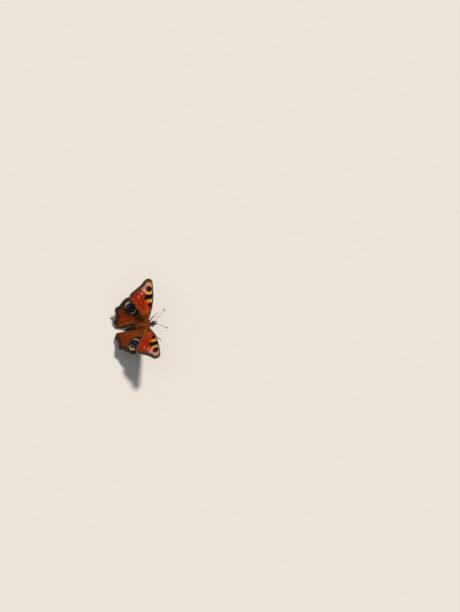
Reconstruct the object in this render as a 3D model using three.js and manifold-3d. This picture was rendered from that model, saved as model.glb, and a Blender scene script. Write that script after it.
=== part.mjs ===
// Peacock butterfly at life size, standing on four feet with its wings raised in an open V.
// Millimetres, +Z up. The head points to +X and the left wings to +Y. The origin is on the ground,
// under the middle of the whole animal.
import * as THREE from "three";
import { mergeVertices } from "three/addons/utils/BufferGeometryUtils.js";
import Module from "manifold-3d";

const wasm = await Module();
wasm.setup();

// Stance
const bodyHeight = 8.8; // middle of the thorax above the ground
const bodyPitch = 20; // degrees, head up
const jointGap = 0.3; // between a piece and what it grows from
const bodySides = { left: 1, right: -1 };

// Thorax, head and abdomen, measured from the middle of the thorax
const thoraxLength = 8.2;
const thoraxHalfWidth = 2.65;
const thoraxHalfHeight = 2.75;
const thoraxHump = 0.25; // the back is fuller than the breast
const thoraxSquareness = [2.6, 2.2]; // an egg would be 2 and 2
const headLength = 2.9;
const headHalfWidth = 1.3;
const headX = thoraxLength / 2 + 1.75;
const headZ = 0.35;
const headTilt = 0.12; // the face is a little lower than the nape
const eyeRadius = 0.9;
const eyeScale = [0.92, 0.86, 1.08]; // along, across and up
const eyeOut = 0.98; // eye centre from the mid plane
const eyeAhead = 0.12; // and ahead of and above the head's middle
const abdomenLength = 12.6;
const abdomenHalfWidth = 1.8;
const abdomenDroop = 1.3;
const abdomenRings = 9;
const ringStep = 0.11; // rise of each ring over the next
const ringProfile = [[0.97, 1], [0.45, 0.6], [0.03, 0]]; // share of the ring's length, share of the rise

// Feelers and mouth
const antennaLength = 13.2;
const antennaRadius = 0.26;
const clubLength = 1.9;
const clubRadius = 0.46;
const antennaSpread = 27; // degrees from straight ahead
const antennaRise = 16;
const antennaRoot = [0.6, 0.4, 0.9]; // ahead, out and up from the head's middle
const antennaStations = [0, 0.05, 0.16, 0.3, 0.44, 0.58, 0.7, 0.8, 0.86, 0.9, 0.94, 0.97, 0.99, 1];
const antennaSag = [[0, 0], [0.3, 0.55], [0.65, 0.6], [1, -0.35]]; // share of its length, height added
const antennaRootSwell = 1.5;
const clubTipTaper = 0.28;
const palpLength = 2.7;
const palpRadius = 0.4;
const palpOut = 0.82;
const palpRoot = [0.7, -0.8]; // ahead and up from the head's middle
const palpRun = [0.88, -0.1, 0.4]; // shares of its length ahead and up, and how far its tip turns in
const palpBelly = 0.22;
const palpProfile = [[0, 0.6], [0.2, 0.85], [0.45, 1], [0.7, 0.85], [0.88, 0.6], [1, 0.4]];
const palpFlatness = [0.68, 1.2]; // across and up
const coilPlace = [0.95, -2.0]; // ahead and up from the head's middle
const coilTurns = 1.75;
const coilTubeRadius = 0.25;
const coilTurnGap = 0.6;
const coilCore = 0.12;
const coilStart = 0.62 * Math.PI;

// Wings
const membraneThickness = 0.5;
const veinHeight = 0.2;
const veinHalfWidth = 0.32;
const veinStep = 2.0;
const edgeStep = 1.45;
const cellStep = 2.5;
const bendSpan = 25; // length over which a wing bends by its bend angle
const crestRoom = { apart: 0.55, fromEdge: 0.35 }; // least distances between a wing's points
const footRoom = { apart: 0.27, fromEdge: 0.3 };
const cellRoom = { apart: 1.0, fromEdge: 0.8 };
const rootSwell = 0.18; // extra half thickness where a wing joins the body
const rootSwellReach = 1.6;
const wingPose = {
  forewing_left: { raise: 32.9, sweep: -10.0, twist: 1.1, bend: 12.0 },
  forewing_right: { raise: 28.9, sweep: -12.5, twist: 3.9, bend: 13.7 },
  hindwing_left: { raise: 22.2, sweep: -22.9, twist: 2.5, bend: 6.7 },
  hindwing_right: { raise: 19.6, sweep: -26.5, twist: 0.6, bend: 6.7 },
};

// A wing lies flat as [outward, forward] from its root. Its outline runs from the front of the root
// round the tip, and each vein runs outward.
const forewing = {
  root: [2.0, 2.4, 1.75], // forward, out, up
  outline: [
    [-1.2, 1.3], [0, 1.5], [2.5, 4.1], [6, 7.7], [10, 11.0], [14, 13.6], [18, 15.7], [21.5, 17.2],
    [23.6, 17.8], [24.9, 17.2], [25.7, 14.6], [25.2, 12.8], [24.0, 10.6], [23.2, 8.2], [22.5, 5.2],
    [21.7, 2.0], [21.0, -0.4], [19.6, -2.0], [17, -2.2], [12, -1.5], [6, -1.1], [2, -1.2], [-1.2, -1.3],
  ],
  veins: {
    costa: [[1.2, 1.9], [6, 7.0], [10, 10.3], [14, 12.9], [18, 15.0], [21.8, 16.5]],
    subcosta: [[0.6, 0.8], [5, 5.3], [10, 9.4], [13.8, 12.2]],
    radius: [[0.4, 0.2], [5, 4.3], [10, 8.5], [13, 10.3], [18, 14.0], [22.8, 16.8]],
    radiusFirst: [[10, 8.5], [13.5, 11.2], [17, 14.0]],
    radiusLast: [[17.4, 13.6], [21, 14.9], [24.6, 15.8]],
    mediaFirst: [[13, 10.3], [13.6, 9.0], [19, 11.4], [24.8, 13.4]],
    mediaSecond: [[13.6, 9.0], [13.4, 7.6], [18.8, 9.4], [23.6, 10.7]],
    mediaThird: [[13.4, 7.6], [12.4, 5.6], [18, 7.0], [22.6, 8.1]],
    cubitus: [[0.4, -0.2], [5, 2.0], [9, 4.0], [12.4, 5.6]],
    cubitusFirst: [[11, 5.0], [17, 4.9], [21.9, 4.9]],
    cubitusSecond: [[7.6, 3.3], [14.5, 2.2], [20.9, 1.6]],
    anal: [[0.6, -0.6], [8, -0.3], [15, -1.1], [19.2, -1.6]],
  },
};
const hindwing = {
  root: [-1.0, 2.2, 0.5],
  outline: [
    [-1.0, 0.8], [0, 1.2], [2, 2.8], [6, 4.6], [11, 5.6], [15.5, 5.2], [18.4, 3.4], [19.5, 0.8],
    [19.7, -1.6], [19.2, -4.4], [18.4, -7.2], [18.8, -10.6], [17.6, -11.9], [15.2, -13.4],
    [13.1, -15.8], [12.2, -17.7], [10.2, -18.6], [7.6, -19.0], [5.6, -17.2], [3.9, -12.4],
    [2.2, -7.0], [0.6, -2.4], [-1.0, -1.4],
  ],
  veins: {
    humeral: [[0.6, 0.6], [3.2, 1.9], [9, 3.4], [16.6, 3.9]],
    radius: [[0.6, 0.2], [5, 0.9], [9, 0.8], [18.8, -0.6]],
    mediaFirst: [[7.4, 0.9], [8.2, -0.4], [13, -2.0], [18.7, -4.2]],
    mediaSecond: [[8.2, -0.4], [8.0, -1.6], [12.5, -4.4], [17.9, -7.2]],
    mediaThird: [[8.0, -1.6], [7.2, -3.0], [12.5, -7.0], [18.1, -10.9]],
    cubitus: [[0.6, -0.3], [3.6, -1.6], [7.2, -3.0]],
    cubitusFirst: [[7.2, -3.0], [11, -8.4], [14.8, -13.0]],
    cubitusSecond: [[3.8, -1.7], [8, -9.6], [11.8, -17.1]],
    anal: [[0.8, -0.9], [4.4, -8], [8.2, -18.2]],
  },
  fold: { from: [1.2, -1.2], to: [8.4, -19.0], degrees: 58, width: 0.9 }, // inner edge, turned down
};

// Walking legs, right side mirrored from the left: body end, knee, ankle, and two points of the foot
const legs = {
  mid: {
    coxa: [0.9, 1.25, -2.1],
    knee: [4.3, 5.0, 6.7],
    ankle: [5.9, 7.0, 1.6],
    foot: [[7.0, 8.2, 0.3], [8.6, 9.6, 0.2]],
  },
  hind: {
    coxa: [-1.9, 1.15, -2.0],
    knee: [-5.0, 4.9, 5.7],
    ankle: [-8.0, 6.9, 1.5],
    foot: [[-9.6, 7.7, 0.3], [-11.9, 8.7, 0.2]],
  },
};
const coxaLength = 1.7;
const femurRadius = 0.42;
const tibiaRadius = 0.33;
const tarsusRadius = 0.27;
const kneeGap = 0.36; // from the knee's middle to each length of leg
const ankleGap = 0.22;
const coxaWidths = [0.75, 0.8, 0.62, 0.42];
const femurWidths = [0.9, 0.95, 1, 0.76, 0.6];
const tibiaWidths = [0.75, 0.95, 1, 0.95, 0.8];
const shankStations = [0, 0.1, 0.5, 0.9, 1];
const tarsusJoints = 5;
// each claw's places, measured ahead, aside and up from the tip of the foot
const clawRoute = [[-0.35, 0.1, 0], [0.25, 0.26, 0.1], [0.55, 0.4, -0.12]];
const clawRadii = [0.16, 0.13, 0.06];
const foreleg = {
  places: [[2.6, 0.85, -2.35], [3.5, 1.15, -3.0], [4.6, 1.1, -2.75], [5.2, 0.95, -2.2]],
  profile: [[0, 0.3], [0.12, 0.4], [0.35, 0.42], [0.6, 0.38], [0.82, 0.3], [1, 0.12]],
};

const colours = {
  forewing: 0xb5421f,
  hindwing: 0x8f3d1c,
  fur: 0x8a5526,
  abdomen: 0x3a2618,
  chitin: 0x2b1d14,
  eye: 0x20130d,
  leg: 0x6b4a2e,
};

// Small helpers
const radians = (degrees) => THREE.MathUtils.degToRad(degrees);
const vector = (list) => new THREE.Vector3(...list);
const flat = ([x, y]) => new THREE.Vector3(x, y, 0);
const pitch = new THREE.Matrix4()
  .makeTranslation(0, 0, bodyHeight)
  .multiply(new THREE.Matrix4().makeRotationY(-radians(bodyPitch)));

function onBody(x, y, z) {
  return new THREE.Vector3(x, y, z).applyMatrix4(pitch);
}

function closedGeometry(positions, indices) {
  const geometry = new THREE.BufferGeometry();
  geometry.setAttribute("position", new THREE.Float32BufferAttribute(positions, 3));
  geometry.setIndex(indices);
  return geometry;
}

function toSolid(geometry) {
  const merged = mergeVertices(geometry, 1e-4);
  return new wasm.Manifold(
    new wasm.Mesh({
      numProp: 3,
      vertProperties: new Float32Array(merged.attributes.position.array),
      triVerts: new Uint32Array(merged.index.array),
    }),
  );
}

function toGeometry(solid) {
  const bodies = solid.decompose().sort((a, b) => b.volume() - a.volume());
  const mesh = bodies[0].getMesh();
  return closedGeometry(Array.from(mesh.vertProperties), Array.from(mesh.triVerts));
}

// Skins a row of equal rings, from the first to the last, and closes both ends on their middles.
function loft(rings) {
  const sides = rings[0].length;
  const positions = [];
  const indices = [];
  const middle = (ring) => ring.reduce((sum, p) => sum.add(p), new THREE.Vector3()).divideScalar(sides);
  rings.flat().forEach((p) => positions.push(p.x, p.y, p.z));
  const first = positions.length / 3;
  [middle(rings[0]), middle(rings.at(-1))].forEach((p) => positions.push(p.x, p.y, p.z));
  for (let i = 0; i < sides; i++) {
    const next = (i + 1) % sides;
    for (let r = 0; r < rings.length - 1; r++) {
      const [a, b] = [r * sides + i, r * sides + next];
      indices.push(a, b, b + sides, a, b + sides, a + sides);
    }
    const end = (rings.length - 1) * sides;
    indices.push(first, next, i, first + 1, end + i, end + next);
  }
  return closedGeometry(positions, indices);
}

// A round tube through points, with a radius for each, or a [wide, high] pair.
function limb(points, radii, sides = 8, across = new THREE.Vector3(0, 0, 1)) {
  const rings = points.map((point, k) => {
    const before = points[Math.max(k - 1, 0)];
    const after = points[Math.min(k + 1, points.length - 1)];
    const along = after.clone().sub(before).normalize();
    const wide = new THREE.Vector3().crossVectors(across, along).normalize();
    const high = new THREE.Vector3().crossVectors(along, wide);
    const [w, h] = Array.isArray(radii[k]) ? radii[k] : [radii[k], radii[k]];
    return Array.from({ length: sides }, (_, i) => {
      const turn = (2 * Math.PI * (i + 0.5)) / sides;
      return point
        .clone()
        .addScaledVector(wide, w * Math.cos(turn))
        .addScaledVector(high, h * Math.sin(turn));
    });
  });
  return loft(rings);
}

function samples(curve, step) {
  return curve.getSpacedPoints(Math.max(1, Math.round(curve.getLength() / step)));
}

// Trunk of the body, each an egg or ring shape along the body's axis
function eggRing(x, halfWidth, halfHeight, z, sides) {
  return Array.from({ length: sides }, (_, i) => {
    const turn = (2 * Math.PI * i) / sides;
    return new THREE.Vector3(x, halfWidth * Math.cos(turn), z + halfHeight * Math.sin(turn));
  });
}

function thoraxShape(grow = 0) {
  const stations = 11;
  const half = thoraxLength / 2 + grow;
  const rings = Array.from({ length: stations }, (_, k) => {
    const s = -Math.cos((Math.PI * (k + 0.55)) / (stations + 0.1));
    const [power, root] = thoraxSquareness;
    const round = Math.pow(1 - Math.pow(Math.abs(s), power), 1 / root);
    const hump = thoraxHump * (1 - s * s);
    return eggRing(
      s * half,
      (thoraxHalfWidth + grow) * round,
      (thoraxHalfHeight + grow) * round,
      hump,
      20,
    );
  });
  return toSolid(loft(rings));
}

function eyeShape(side, grow = 0) {
  const ball = new THREE.SphereGeometry(eyeRadius + grow, 14, 10);
  ball.deleteAttribute("normal");
  ball.deleteAttribute("uv");
  ball.scale(...eyeScale);
  ball.translate(headX + eyeAhead, side * eyeOut, headZ + eyeAhead);
  return toSolid(ball);
}

function headShape(grow = 0) {
  const stations = 9;
  const rings = Array.from({ length: stations }, (_, k) => {
    const s = -Math.cos((Math.PI * (k + 0.5)) / stations);
    const round = Math.sqrt(1 - s * s);
    return eggRing(
      headX + s * (headLength / 2 + grow),
      (headHalfWidth + grow) * round,
      (headHalfWidth + 0.15 + grow) * round,
      headZ - headTilt * s,
      16,
    );
  });
  return toSolid(loft(rings));
}

// The abdomen narrows to its tip in overlapping rings, and droops.
function abdomenPoint(t) {
  const x = -thoraxLength / 2 + 0.25 - t * abdomenLength;
  return [x, -0.25 - abdomenDroop * t * t];
}

function abdomenRadius(t) {
  return abdomenHalfWidth * Math.pow(Math.sin(Math.PI * (0.2 + 0.8 * t)), 0.42) * (1 - 0.28 * t * t);
}

function abdomenShape(grow = 0) {
  const rings = [];
  for (let k = abdomenRings - 1; k >= 0; k--) {
    for (const [part, share] of ringProfile) {
      const t = (k + part) / abdomenRings;
      const [x, z] = abdomenPoint(t);
      const r = abdomenRadius(Math.min(t, 0.985)) + ringStep * share + grow;
      rings.push(eggRing(x, r, r * 1.04, z, 14));
    }
  }
  return toSolid(loft(rings));
}

// Wings
function insideOutline(outline, [x, y]) {
  let inside = false;
  outline.forEach(([ax, ay], i) => {
    const [bx, by] = outline[(i + 1) % outline.length];
    if (ay > y !== by > y && x < ((bx - ax) * (y - ay)) / (by - ay) + ax) inside = !inside;
  });
  return inside;
}

function distanceToOutline(outline, [x, y]) {
  return Math.min(
    ...outline.map(([ax, ay], i) => {
      const [bx, by] = outline[(i + 1) % outline.length];
      const [dx, dy] = [bx - ax, by - ay];
      const t = THREE.MathUtils.clamp(((x - ax) * dx + (y - ay) * dy) / (dx * dx + dy * dy), 0, 1);
      return Math.hypot(x - ax - t * dx, y - ay - t * dy);
    }),
  );
}

function circled(points, a, b, c) {
  const [ax, ay] = points[a];
  const [bx, by] = [points[b][0] - ax, points[b][1] - ay];
  const [cx, cy] = [points[c][0] - ax, points[c][1] - ay];
  const d = 2 * (bx * cy - by * cx);
  const x = (cy * (bx * bx + by * by) - by * (cx * cx + cy * cy)) / d;
  const y = (bx * (cx * cx + cy * cy) - cx * (bx * bx + by * by)) / d;
  return { corners: d > 0 ? [a, b, c] : [a, c, b], x: ax + x, y: ay + y, r2: x * x + y * y };
}

// Joins flat points into the triangles whose circles hold no other point, adding one at a time.
function joinTriangles(points) {
  const n = points.length;
  const far = 4000;
  const all = [...points, [-far, -far], [far, -far], [0, far]];
  let triangles = [circled(all, n, n + 1, n + 2)];
  for (let i = 0; i < n; i++) {
    const [x, y] = all[i];
    const rim = new Map();
    triangles = triangles.filter((t) => {
      if ((x - t.x) ** 2 + (y - t.y) ** 2 >= t.r2) return true;
      t.corners.forEach((a, k) => {
        const b = t.corners[(k + 1) % 3];
        const key = `${Math.min(a, b)} ${Math.max(a, b)}`;
        if (rim.has(key)) rim.delete(key);
        else rim.set(key, [a, b]);
      });
      return false;
    });
    for (const [a, b] of rim.values()) triangles.push(circled(all, a, b, i));
  }
  return triangles.map((t) => t.corners).filter((corners) => corners.every((c) => c < n));
}

// Points of a flat wing: its edge, the crest and two feet of each vein, and points in the cells.
// Each has the height that the veins add there.
function wingPoints(shape) {
  const edgeCurve = new THREE.CatmullRomCurve3(shape.outline.map(flat), true, "centripetal");
  const edge = samples(edgeCurve, edgeStep).slice(0, -1).map((p) => [p.x, p.y]);
  const points = edge.map(([x, y]) => ({ x, y, rise: 0 }));
  const add = (x, y, rise, room) => {
    if (!insideOutline(edge, [x, y]) || distanceToOutline(edge, [x, y]) < room.fromEdge) return;
    if (points.some((p) => Math.hypot(p.x - x, p.y - y) < room.apart)) return;
    points.push({ x, y, rise });
  };
  const rows = [];
  for (const route of Object.values(shape.veins)) {
    const curve = new THREE.CatmullRomCurve3(route.map(flat), false, "centripetal");
    const crest = samples(curve, veinStep);
    crest.forEach((p, k) => {
      const along = curve.getTangentAt(k / (crest.length - 1));
      rows.push({ p, along, rise: veinHeight * (1 - (0.4 * k) / crest.length) });
    });
  }
  rows.forEach(({ p, rise }) => add(p.x, p.y, rise, crestRoom));
  for (const side of [1, -1]) {
    rows.forEach(({ p, along }) => {
      const x = p.x - side * veinHalfWidth * along.y;
      const y = p.y + side * veinHalfWidth * along.x;
      add(x, y, 0, footRoom);
    });
  }
  for (let row = 0, y = -20; y < 19; y += cellStep * 0.866, row++) {
    for (let x = (row % 2) * (cellStep / 2); x < 27; x += cellStep) add(x, y, 0, cellRoom);
  }
  return { points, edge };
}

// Turns the inner edge of a hindwing down along its fold line.
function foldDown(shape, x, y, h) {
  if (!shape.fold) return [x, y, h];
  const { from, to, degrees, width } = shape.fold;
  const length = Math.hypot(to[0] - from[0], to[1] - from[1]);
  const [ux, uy] = [(to[0] - from[0]) / length, (to[1] - from[1]) / length];
  const beyond = (x - from[0]) * uy - (y - from[1]) * ux;
  if (beyond <= 0) return [x, y, h];
  const turn = radians(degrees) * Math.min(1, beyond / width);
  const foot = [x - beyond * uy, y + beyond * ux];
  const side = beyond * Math.cos(turn * 0.7) - h * Math.sin(turn);
  return [foot[0] + side * uy, foot[1] - side * ux, h * Math.cos(turn) - beyond * Math.sin(turn * 0.7)];
}

// Sets a flat wing's point in place on the body: swept, twisted, and bent upward from its root.
function poseWing(shape, pose, side, [a, b, h]) {
  const sweep = radians(pose.sweep);
  const twist = radians(pose.twist);
  const out = a * Math.cos(sweep) - b * Math.sin(sweep);
  const ahead = a * Math.sin(sweep) + b * Math.cos(sweep);
  const forward = ahead * Math.cos(twist) - h * Math.sin(twist);
  const lift = ahead * Math.sin(twist) + h * Math.cos(twist);
  const rate = radians(pose.bend) / bendSpan;
  const start = radians(pose.raise) + radians(pose.bend) / 2;
  const angle = start - rate * out;
  const sideways = (Math.sin(start) - Math.sin(angle)) / rate - lift * Math.sin(angle);
  const upward = (Math.cos(angle) - Math.cos(start)) / rate + lift * Math.cos(angle);
  const [rootX, rootY, rootZ] = shape.root;
  return new THREE.Vector3(rootX + forward, side * (rootY + sideways), rootZ + upward);
}

function wingShape(shape, pose, side) {
  const { points, edge } = wingPoints(shape);
  const jittered = points.map(({ x, y }, i) => {
    const shake = i < edge.length ? 0 : 0.008;
    return [x + shake * Math.sin(i * 12.9), y + shake * Math.cos(i * 78.2)];
  });
  const faces = joinTriangles(jittered).filter((corners) => {
    const middle = [0, 1].map((axis) => corners.reduce((sum, c) => sum + jittered[c][axis], 0) / 3);
    return insideOutline(edge, middle);
  });
  const positions = [];
  for (const face of [1, -1]) {
    points.forEach(({ x, y, rise }) => {
      const swell = rootSwell * Math.exp(-((x / rootSwellReach) ** 2));
      const h = membraneThickness / 2 + swell + (face > 0 ? rise : 0.7 * rise);
      const [fx, fy, fh] = foldDown(shape, x, y, face * h);
      const p = poseWing(shape, pose, side, [fx, fy, fh]);
      positions.push(p.x, p.y, p.z);
    });
  }
  const n = points.length;
  const indices = [];
  const rim = new Map();
  for (const [a, b, c] of faces) {
    indices.push(a, b, c, a + n, c + n, b + n);
    for (const [p, q] of [[a, b], [b, c], [c, a]]) {
      if (rim.has(`${q} ${p}`)) rim.delete(`${q} ${p}`);
      else rim.set(`${p} ${q}`, [p, q]);
    }
  }
  for (const [p, q] of rim.values()) indices.push(p, p + n, q + n, p, q + n, q);
  if (side > 0) indices.reverse();
  return toSolid(closedGeometry(positions, indices));
}

// Head parts
function antennaCurve(side) {
  const spread = radians(antennaSpread);
  const rise = radians(antennaRise);
  const [rootAhead, rootOut, rootUp] = antennaRoot;
  const base = new THREE.Vector3(headX + rootAhead, side * rootOut, headZ + rootUp);
  const point = (t, sag) =>
    base.clone().add(
      new THREE.Vector3(
        antennaLength * t * Math.cos(rise) * Math.cos(spread),
        side * antennaLength * t * Math.cos(rise) * Math.sin(spread * (0.75 + 0.35 * t)),
        antennaLength * t * Math.sin(rise) + sag,
      ),
    );
  return new THREE.CatmullRomCurve3(antennaSag.map(([t, sag]) => point(t, sag)));
}

function antennaShape(side) {
  const curve = antennaCurve(side);
  const clubStart = 1 - clubLength / antennaLength;
  const radii = antennaStations.map((t) => {
    if (t === 0) return antennaRadius * antennaRootSwell;
    if (t < clubStart) return antennaRadius;
    const s = (t - clubStart) / (1 - clubStart);
    const swell = Math.sin(Math.PI * Math.min(s * 0.75, 1));
    return antennaRadius + (clubRadius - antennaRadius) * swell - clubTipTaper * s ** 6;
  });
  return toSolid(limb(antennaStations.map((t) => curve.getPointAt(t)), radii, 8));
}

function palpShape(side) {
  const [rootAhead, rootUp] = palpRoot;
  const [ahead, inward, up] = palpRun;
  const root = new THREE.Vector3(headX + rootAhead, side * palpOut, headZ + rootUp);
  const tip = root.clone().add(new THREE.Vector3(palpLength * ahead, side * inward, palpLength * up));
  const belly = new THREE.Vector3(0, 0, -palpBelly);
  const points = palpProfile.map(([t]) => {
    return root.clone().lerp(tip, t).addScaledVector(belly, Math.sin(Math.PI * t));
  });
  const radii = palpProfile.map(([, wide]) => palpFlatness.map((flatness) => palpRadius * wide * flatness));
  return toSolid(limb(points, radii, 10));
}

function proboscisShape() {
  const centre = new THREE.Vector3(headX + coilPlace[0], 0, headZ + coilPlace[1]);
  const steps = 22;
  const outer = coilTurns * coilTurnGap;
  const points = Array.from({ length: steps + 1 }, (_, k) => {
    const t = k / steps;
    const angle = coilStart - t * coilTurns * 2 * Math.PI;
    const r = outer * (1 - t) + coilCore;
    return centre.clone().add(new THREE.Vector3(r * Math.cos(angle), 0, r * Math.sin(angle)));
  });
  const radii = points.map((_, k) => coilTubeRadius * (1 - (0.15 * k) / steps));
  return toSolid(limb(points, radii, 7, new THREE.Vector3(0, 1, 0)));
}

// Legs
function coxaPoints(leg, side) {
  const [x, y, z] = leg.coxa;
  const top = onBody(x, side * (y - 0.2), z + 0.9);
  const tip = onBody(x - 0.35, side * (y + 0.45), z - coxaLength + 0.5);
  return [0, 0.3, 0.75, 1].map((t) => top.clone().lerp(tip, t));
}

function coxaShape(points, grow = 0) {
  const past = points.at(-1).clone().sub(points[0]).setLength(grow);
  const reached = points.map((p, k) => (k === 3 ? p.clone().add(past) : p));
  return toSolid(limb(reached, coxaWidths.map((r) => r + grow)));
}

// A length of leg between two joints, short of each by its own allowance
function shankShape(from, to, startGap, endGap, widths, radius) {
  const length = from.distanceTo(to);
  const points = shankStations.map((t) => {
    return from.clone().lerp(to, (startGap + t * (length - startGap - endGap)) / length);
  });
  return toSolid(limb(points, widths.map((w) => w * radius)));
}

// Five short joints, the last ones flat on the ground, and a pair of claws at the tip
function tarsusShape(ankle, foot, side) {
  const [heel, tip] = foot.map(([x, y, z]) => new THREE.Vector3(x, side * y, z));
  const route = new THREE.CatmullRomCurve3([ankle, heel, tip], false, "centripetal");
  const from = ankleGap / route.getLength();
  const points = [];
  const radii = [];
  for (let joint = 0; joint < tarsusJoints; joint++) {
    for (const [part, wide] of [[joint ? 0.08 : 0, 0.9], [0.85, 1.1]]) {
      points.push(route.getPointAt(from + ((1 - from) * (joint + part)) / tarsusJoints));
      radii.push(tarsusRadius * wide);
    }
  }
  let solid = toSolid(limb(points, radii, 8));
  const ahead = tip.clone().sub(heel).setZ(0).normalize();
  const aside = new THREE.Vector3(-ahead.y, ahead.x, 0);
  for (const way of [1, -1]) {
    const claw = clawRoute.map(([a, b, c]) => {
      return tip.clone().addScaledVector(ahead, a).addScaledVector(aside, way * b).add(vector([0, 0, c]));
    });
    solid = solid.add(toSolid(limb(claw, clawRadii, 6)));
  }
  const ground = toSolid(tidy(new THREE.BoxGeometry(60, 60, 4).translate(0, 0, -2)));
  return solid.subtract(ground);
}

function tidy(geometry) {
  geometry.deleteAttribute("normal");
  geometry.deleteAttribute("uv");
  return geometry;
}

// The forelegs are small brushes, folded against the breast.
function forelegShape(side) {
  const curve = new THREE.CatmullRomCurve3(foreleg.places.map(([x, y, z]) => onBody(x, side * y, z)));
  const points = foreleg.profile.map(([t]) => curve.getPointAt(t));
  return toSolid(limb(points, foreleg.profile.map(([, radius]) => radius)));
}

// Putting the animal together
const model = new THREE.Group();
const body = new THREE.Group();
body.applyMatrix4(pitch);
model.add(body);

function addNode(parent, name, solid, colour, roughness = 0.7) {
  const material = new THREE.MeshStandardMaterial({ color: colour, roughness, metalness: 0 });
  const mesh = new THREE.Mesh(toGeometry(solid), material);
  mesh.name = name;
  parent.add(mesh);
}

const thoraxRoom = thoraxShape(jointGap);
const worldRoom = thoraxRoom.transform(pitch.elements);
const headRoom = headShape(jointGap);
const eyeRooms = Object.values(bodySides).map((side) => eyeShape(side, jointGap));
const abdomenRoom = abdomenShape(jointGap + 0.15);
const clear = (solid, ...rooms) => rooms.reduce((rest, room) => rest.subtract(room), solid);

addNode(body, "thorax", thoraxShape(), colours.fur);
addNode(body, "abdomen", clear(abdomenShape(), thoraxRoom), colours.abdomen);
addNode(body, "head", clear(headShape(), thoraxRoom, ...eyeRooms), colours.fur);
addNode(body, "proboscis", clear(proboscisShape(), headRoom), colours.chitin, 0.4);

for (const [name, side] of Object.entries(bodySides)) {
  addNode(body, `eye_${name}`, eyeShape(side), colours.eye, 0.25);
  addNode(body, `antenna_${name}`, clear(antennaShape(side), headRoom, ...eyeRooms), colours.chitin);
  addNode(body, `palp_${name}`, clear(palpShape(side), headRoom, ...eyeRooms), colours.fur);
  for (const [kind, shape] of Object.entries({ forewing, hindwing })) {
    const node = `${kind}_${name}`;
    const solid = wingShape(shape, wingPose[node], side);
    addNode(body, node, clear(solid, thoraxRoom, abdomenRoom), colours[kind]);
  }
  for (const [place, leg] of Object.entries(legs)) {
    const coxa = coxaPoints(leg, side);
    const mirrored = ([x, y, z]) => new THREE.Vector3(x, side * y, z);
    const [knee, ankle] = [mirrored(leg.knee), mirrored(leg.ankle)];
    const femur = shankShape(coxa.at(-1), knee, 0, kneeGap, femurWidths, femurRadius);
    const tibia = shankShape(knee, ankle, kneeGap, ankleGap, tibiaWidths, tibiaRadius);
    addNode(model, `coxa_${place}_${name}`, clear(coxaShape(coxa), worldRoom), colours.leg);
    addNode(model, `femur_${place}_${name}`, clear(femur, coxaShape(coxa, jointGap)), colours.leg);
    addNode(model, `tibia_${place}_${name}`, tibia, colours.leg);
    addNode(model, `tarsus_${place}_${name}`, tarsusShape(ankle, leg.foot, side), colours.leg);
  }
  addNode(model, `foreleg_${name}`, forelegShape(side).subtract(worldRoom), colours.fur);
}

// The origin goes on the ground, under the middle of the whole animal.
const box = new THREE.Box3().setFromObject(model, true);
const centre = box.getCenter(new THREE.Vector3());
model.position.set(-centre.x, -centre.y, -box.min.z);

export default model;
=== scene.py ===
import math

import bpy
import numpy as np
from mathutils import Matrix, Vector
from mathutils.geometry import delaunay_2d_cdt


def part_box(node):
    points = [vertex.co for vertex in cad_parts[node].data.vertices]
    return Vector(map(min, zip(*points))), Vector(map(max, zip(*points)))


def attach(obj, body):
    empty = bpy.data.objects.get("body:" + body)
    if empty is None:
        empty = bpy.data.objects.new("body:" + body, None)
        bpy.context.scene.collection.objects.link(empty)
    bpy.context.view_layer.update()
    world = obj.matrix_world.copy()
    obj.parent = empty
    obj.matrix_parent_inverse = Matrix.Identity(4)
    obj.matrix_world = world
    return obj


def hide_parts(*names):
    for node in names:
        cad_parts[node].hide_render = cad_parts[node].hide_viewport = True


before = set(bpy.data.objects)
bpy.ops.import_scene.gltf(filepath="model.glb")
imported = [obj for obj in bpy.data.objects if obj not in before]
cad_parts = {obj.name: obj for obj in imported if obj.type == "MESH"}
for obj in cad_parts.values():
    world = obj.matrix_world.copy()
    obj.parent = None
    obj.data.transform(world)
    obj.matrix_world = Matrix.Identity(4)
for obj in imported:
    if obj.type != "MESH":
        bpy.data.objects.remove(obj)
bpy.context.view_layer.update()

# Peacock butterfly, head to +X, left wings to +Y. Every piece is shaped in millimetres on the body's
# own axes (x ahead, y left, z up from the middle of the thorax) and settled into the frame at the end.
mm = 0.001
sides = {"Left": 1, "Right": -1}
stance = {
    "pitch": 20.0,  # degrees, head up
    "height": 8.8,  # middle of the thorax above the floor
}
eyes = {"at": (5.97, 0.98, 0.47), "radii": (0.83, 0.77, 0.97), "subdivisions": 5, "dome": 0.03}


def boxMiddle(node):
    low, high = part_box(node)
    return (low + high) / 2


bodyTurn = Matrix.Rotation(-math.radians(stance["pitch"]), 3, "Y")
eyesMiddle = (boxMiddle("eye_left") + boxMiddle("eye_right")) / 2
bodyMiddle = eyesMiddle - bodyTurn @ Vector((eyes["at"][0], 0, eyes["at"][2])) * mm
settled = Matrix.Translation(bodyMiddle) @ bodyTurn.to_4x4() @ Matrix.Scale(mm, 4)


# Camera, floor and light
photoFrame = {
    "middle": (230, 306),        # pixels of the 460 x 612 frame
    "thorax": (145.6, 325.1),    # where the middle of the thorax falls
    "focal": 920,                # pixels
    "distance": 0.626,
    "elevation": 76.2,
    "turn": 8.1,                 # degrees that the view is turned to the animal's left
}
studio = {
    "sunElevation": 50.6,
    "sunAzimuth": 38.2,          # from straight ahead toward the left wings
    "sunStrength": 4.0,
    "sunAngle": 7.0,
    "sunColour": (1.0, 0.97, 0.92),
    "skyStrength": 0.31,
    "skyColour": (0.93, 0.96, 1.0, 1.0),
    "floorSize": 6.0,
    "floorColour": (214, 208, 200),
    "floorGrain": 0.95,          # how much darker the grain's dark parts are
    "backdrop": (233, 226, 215),
}


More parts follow.
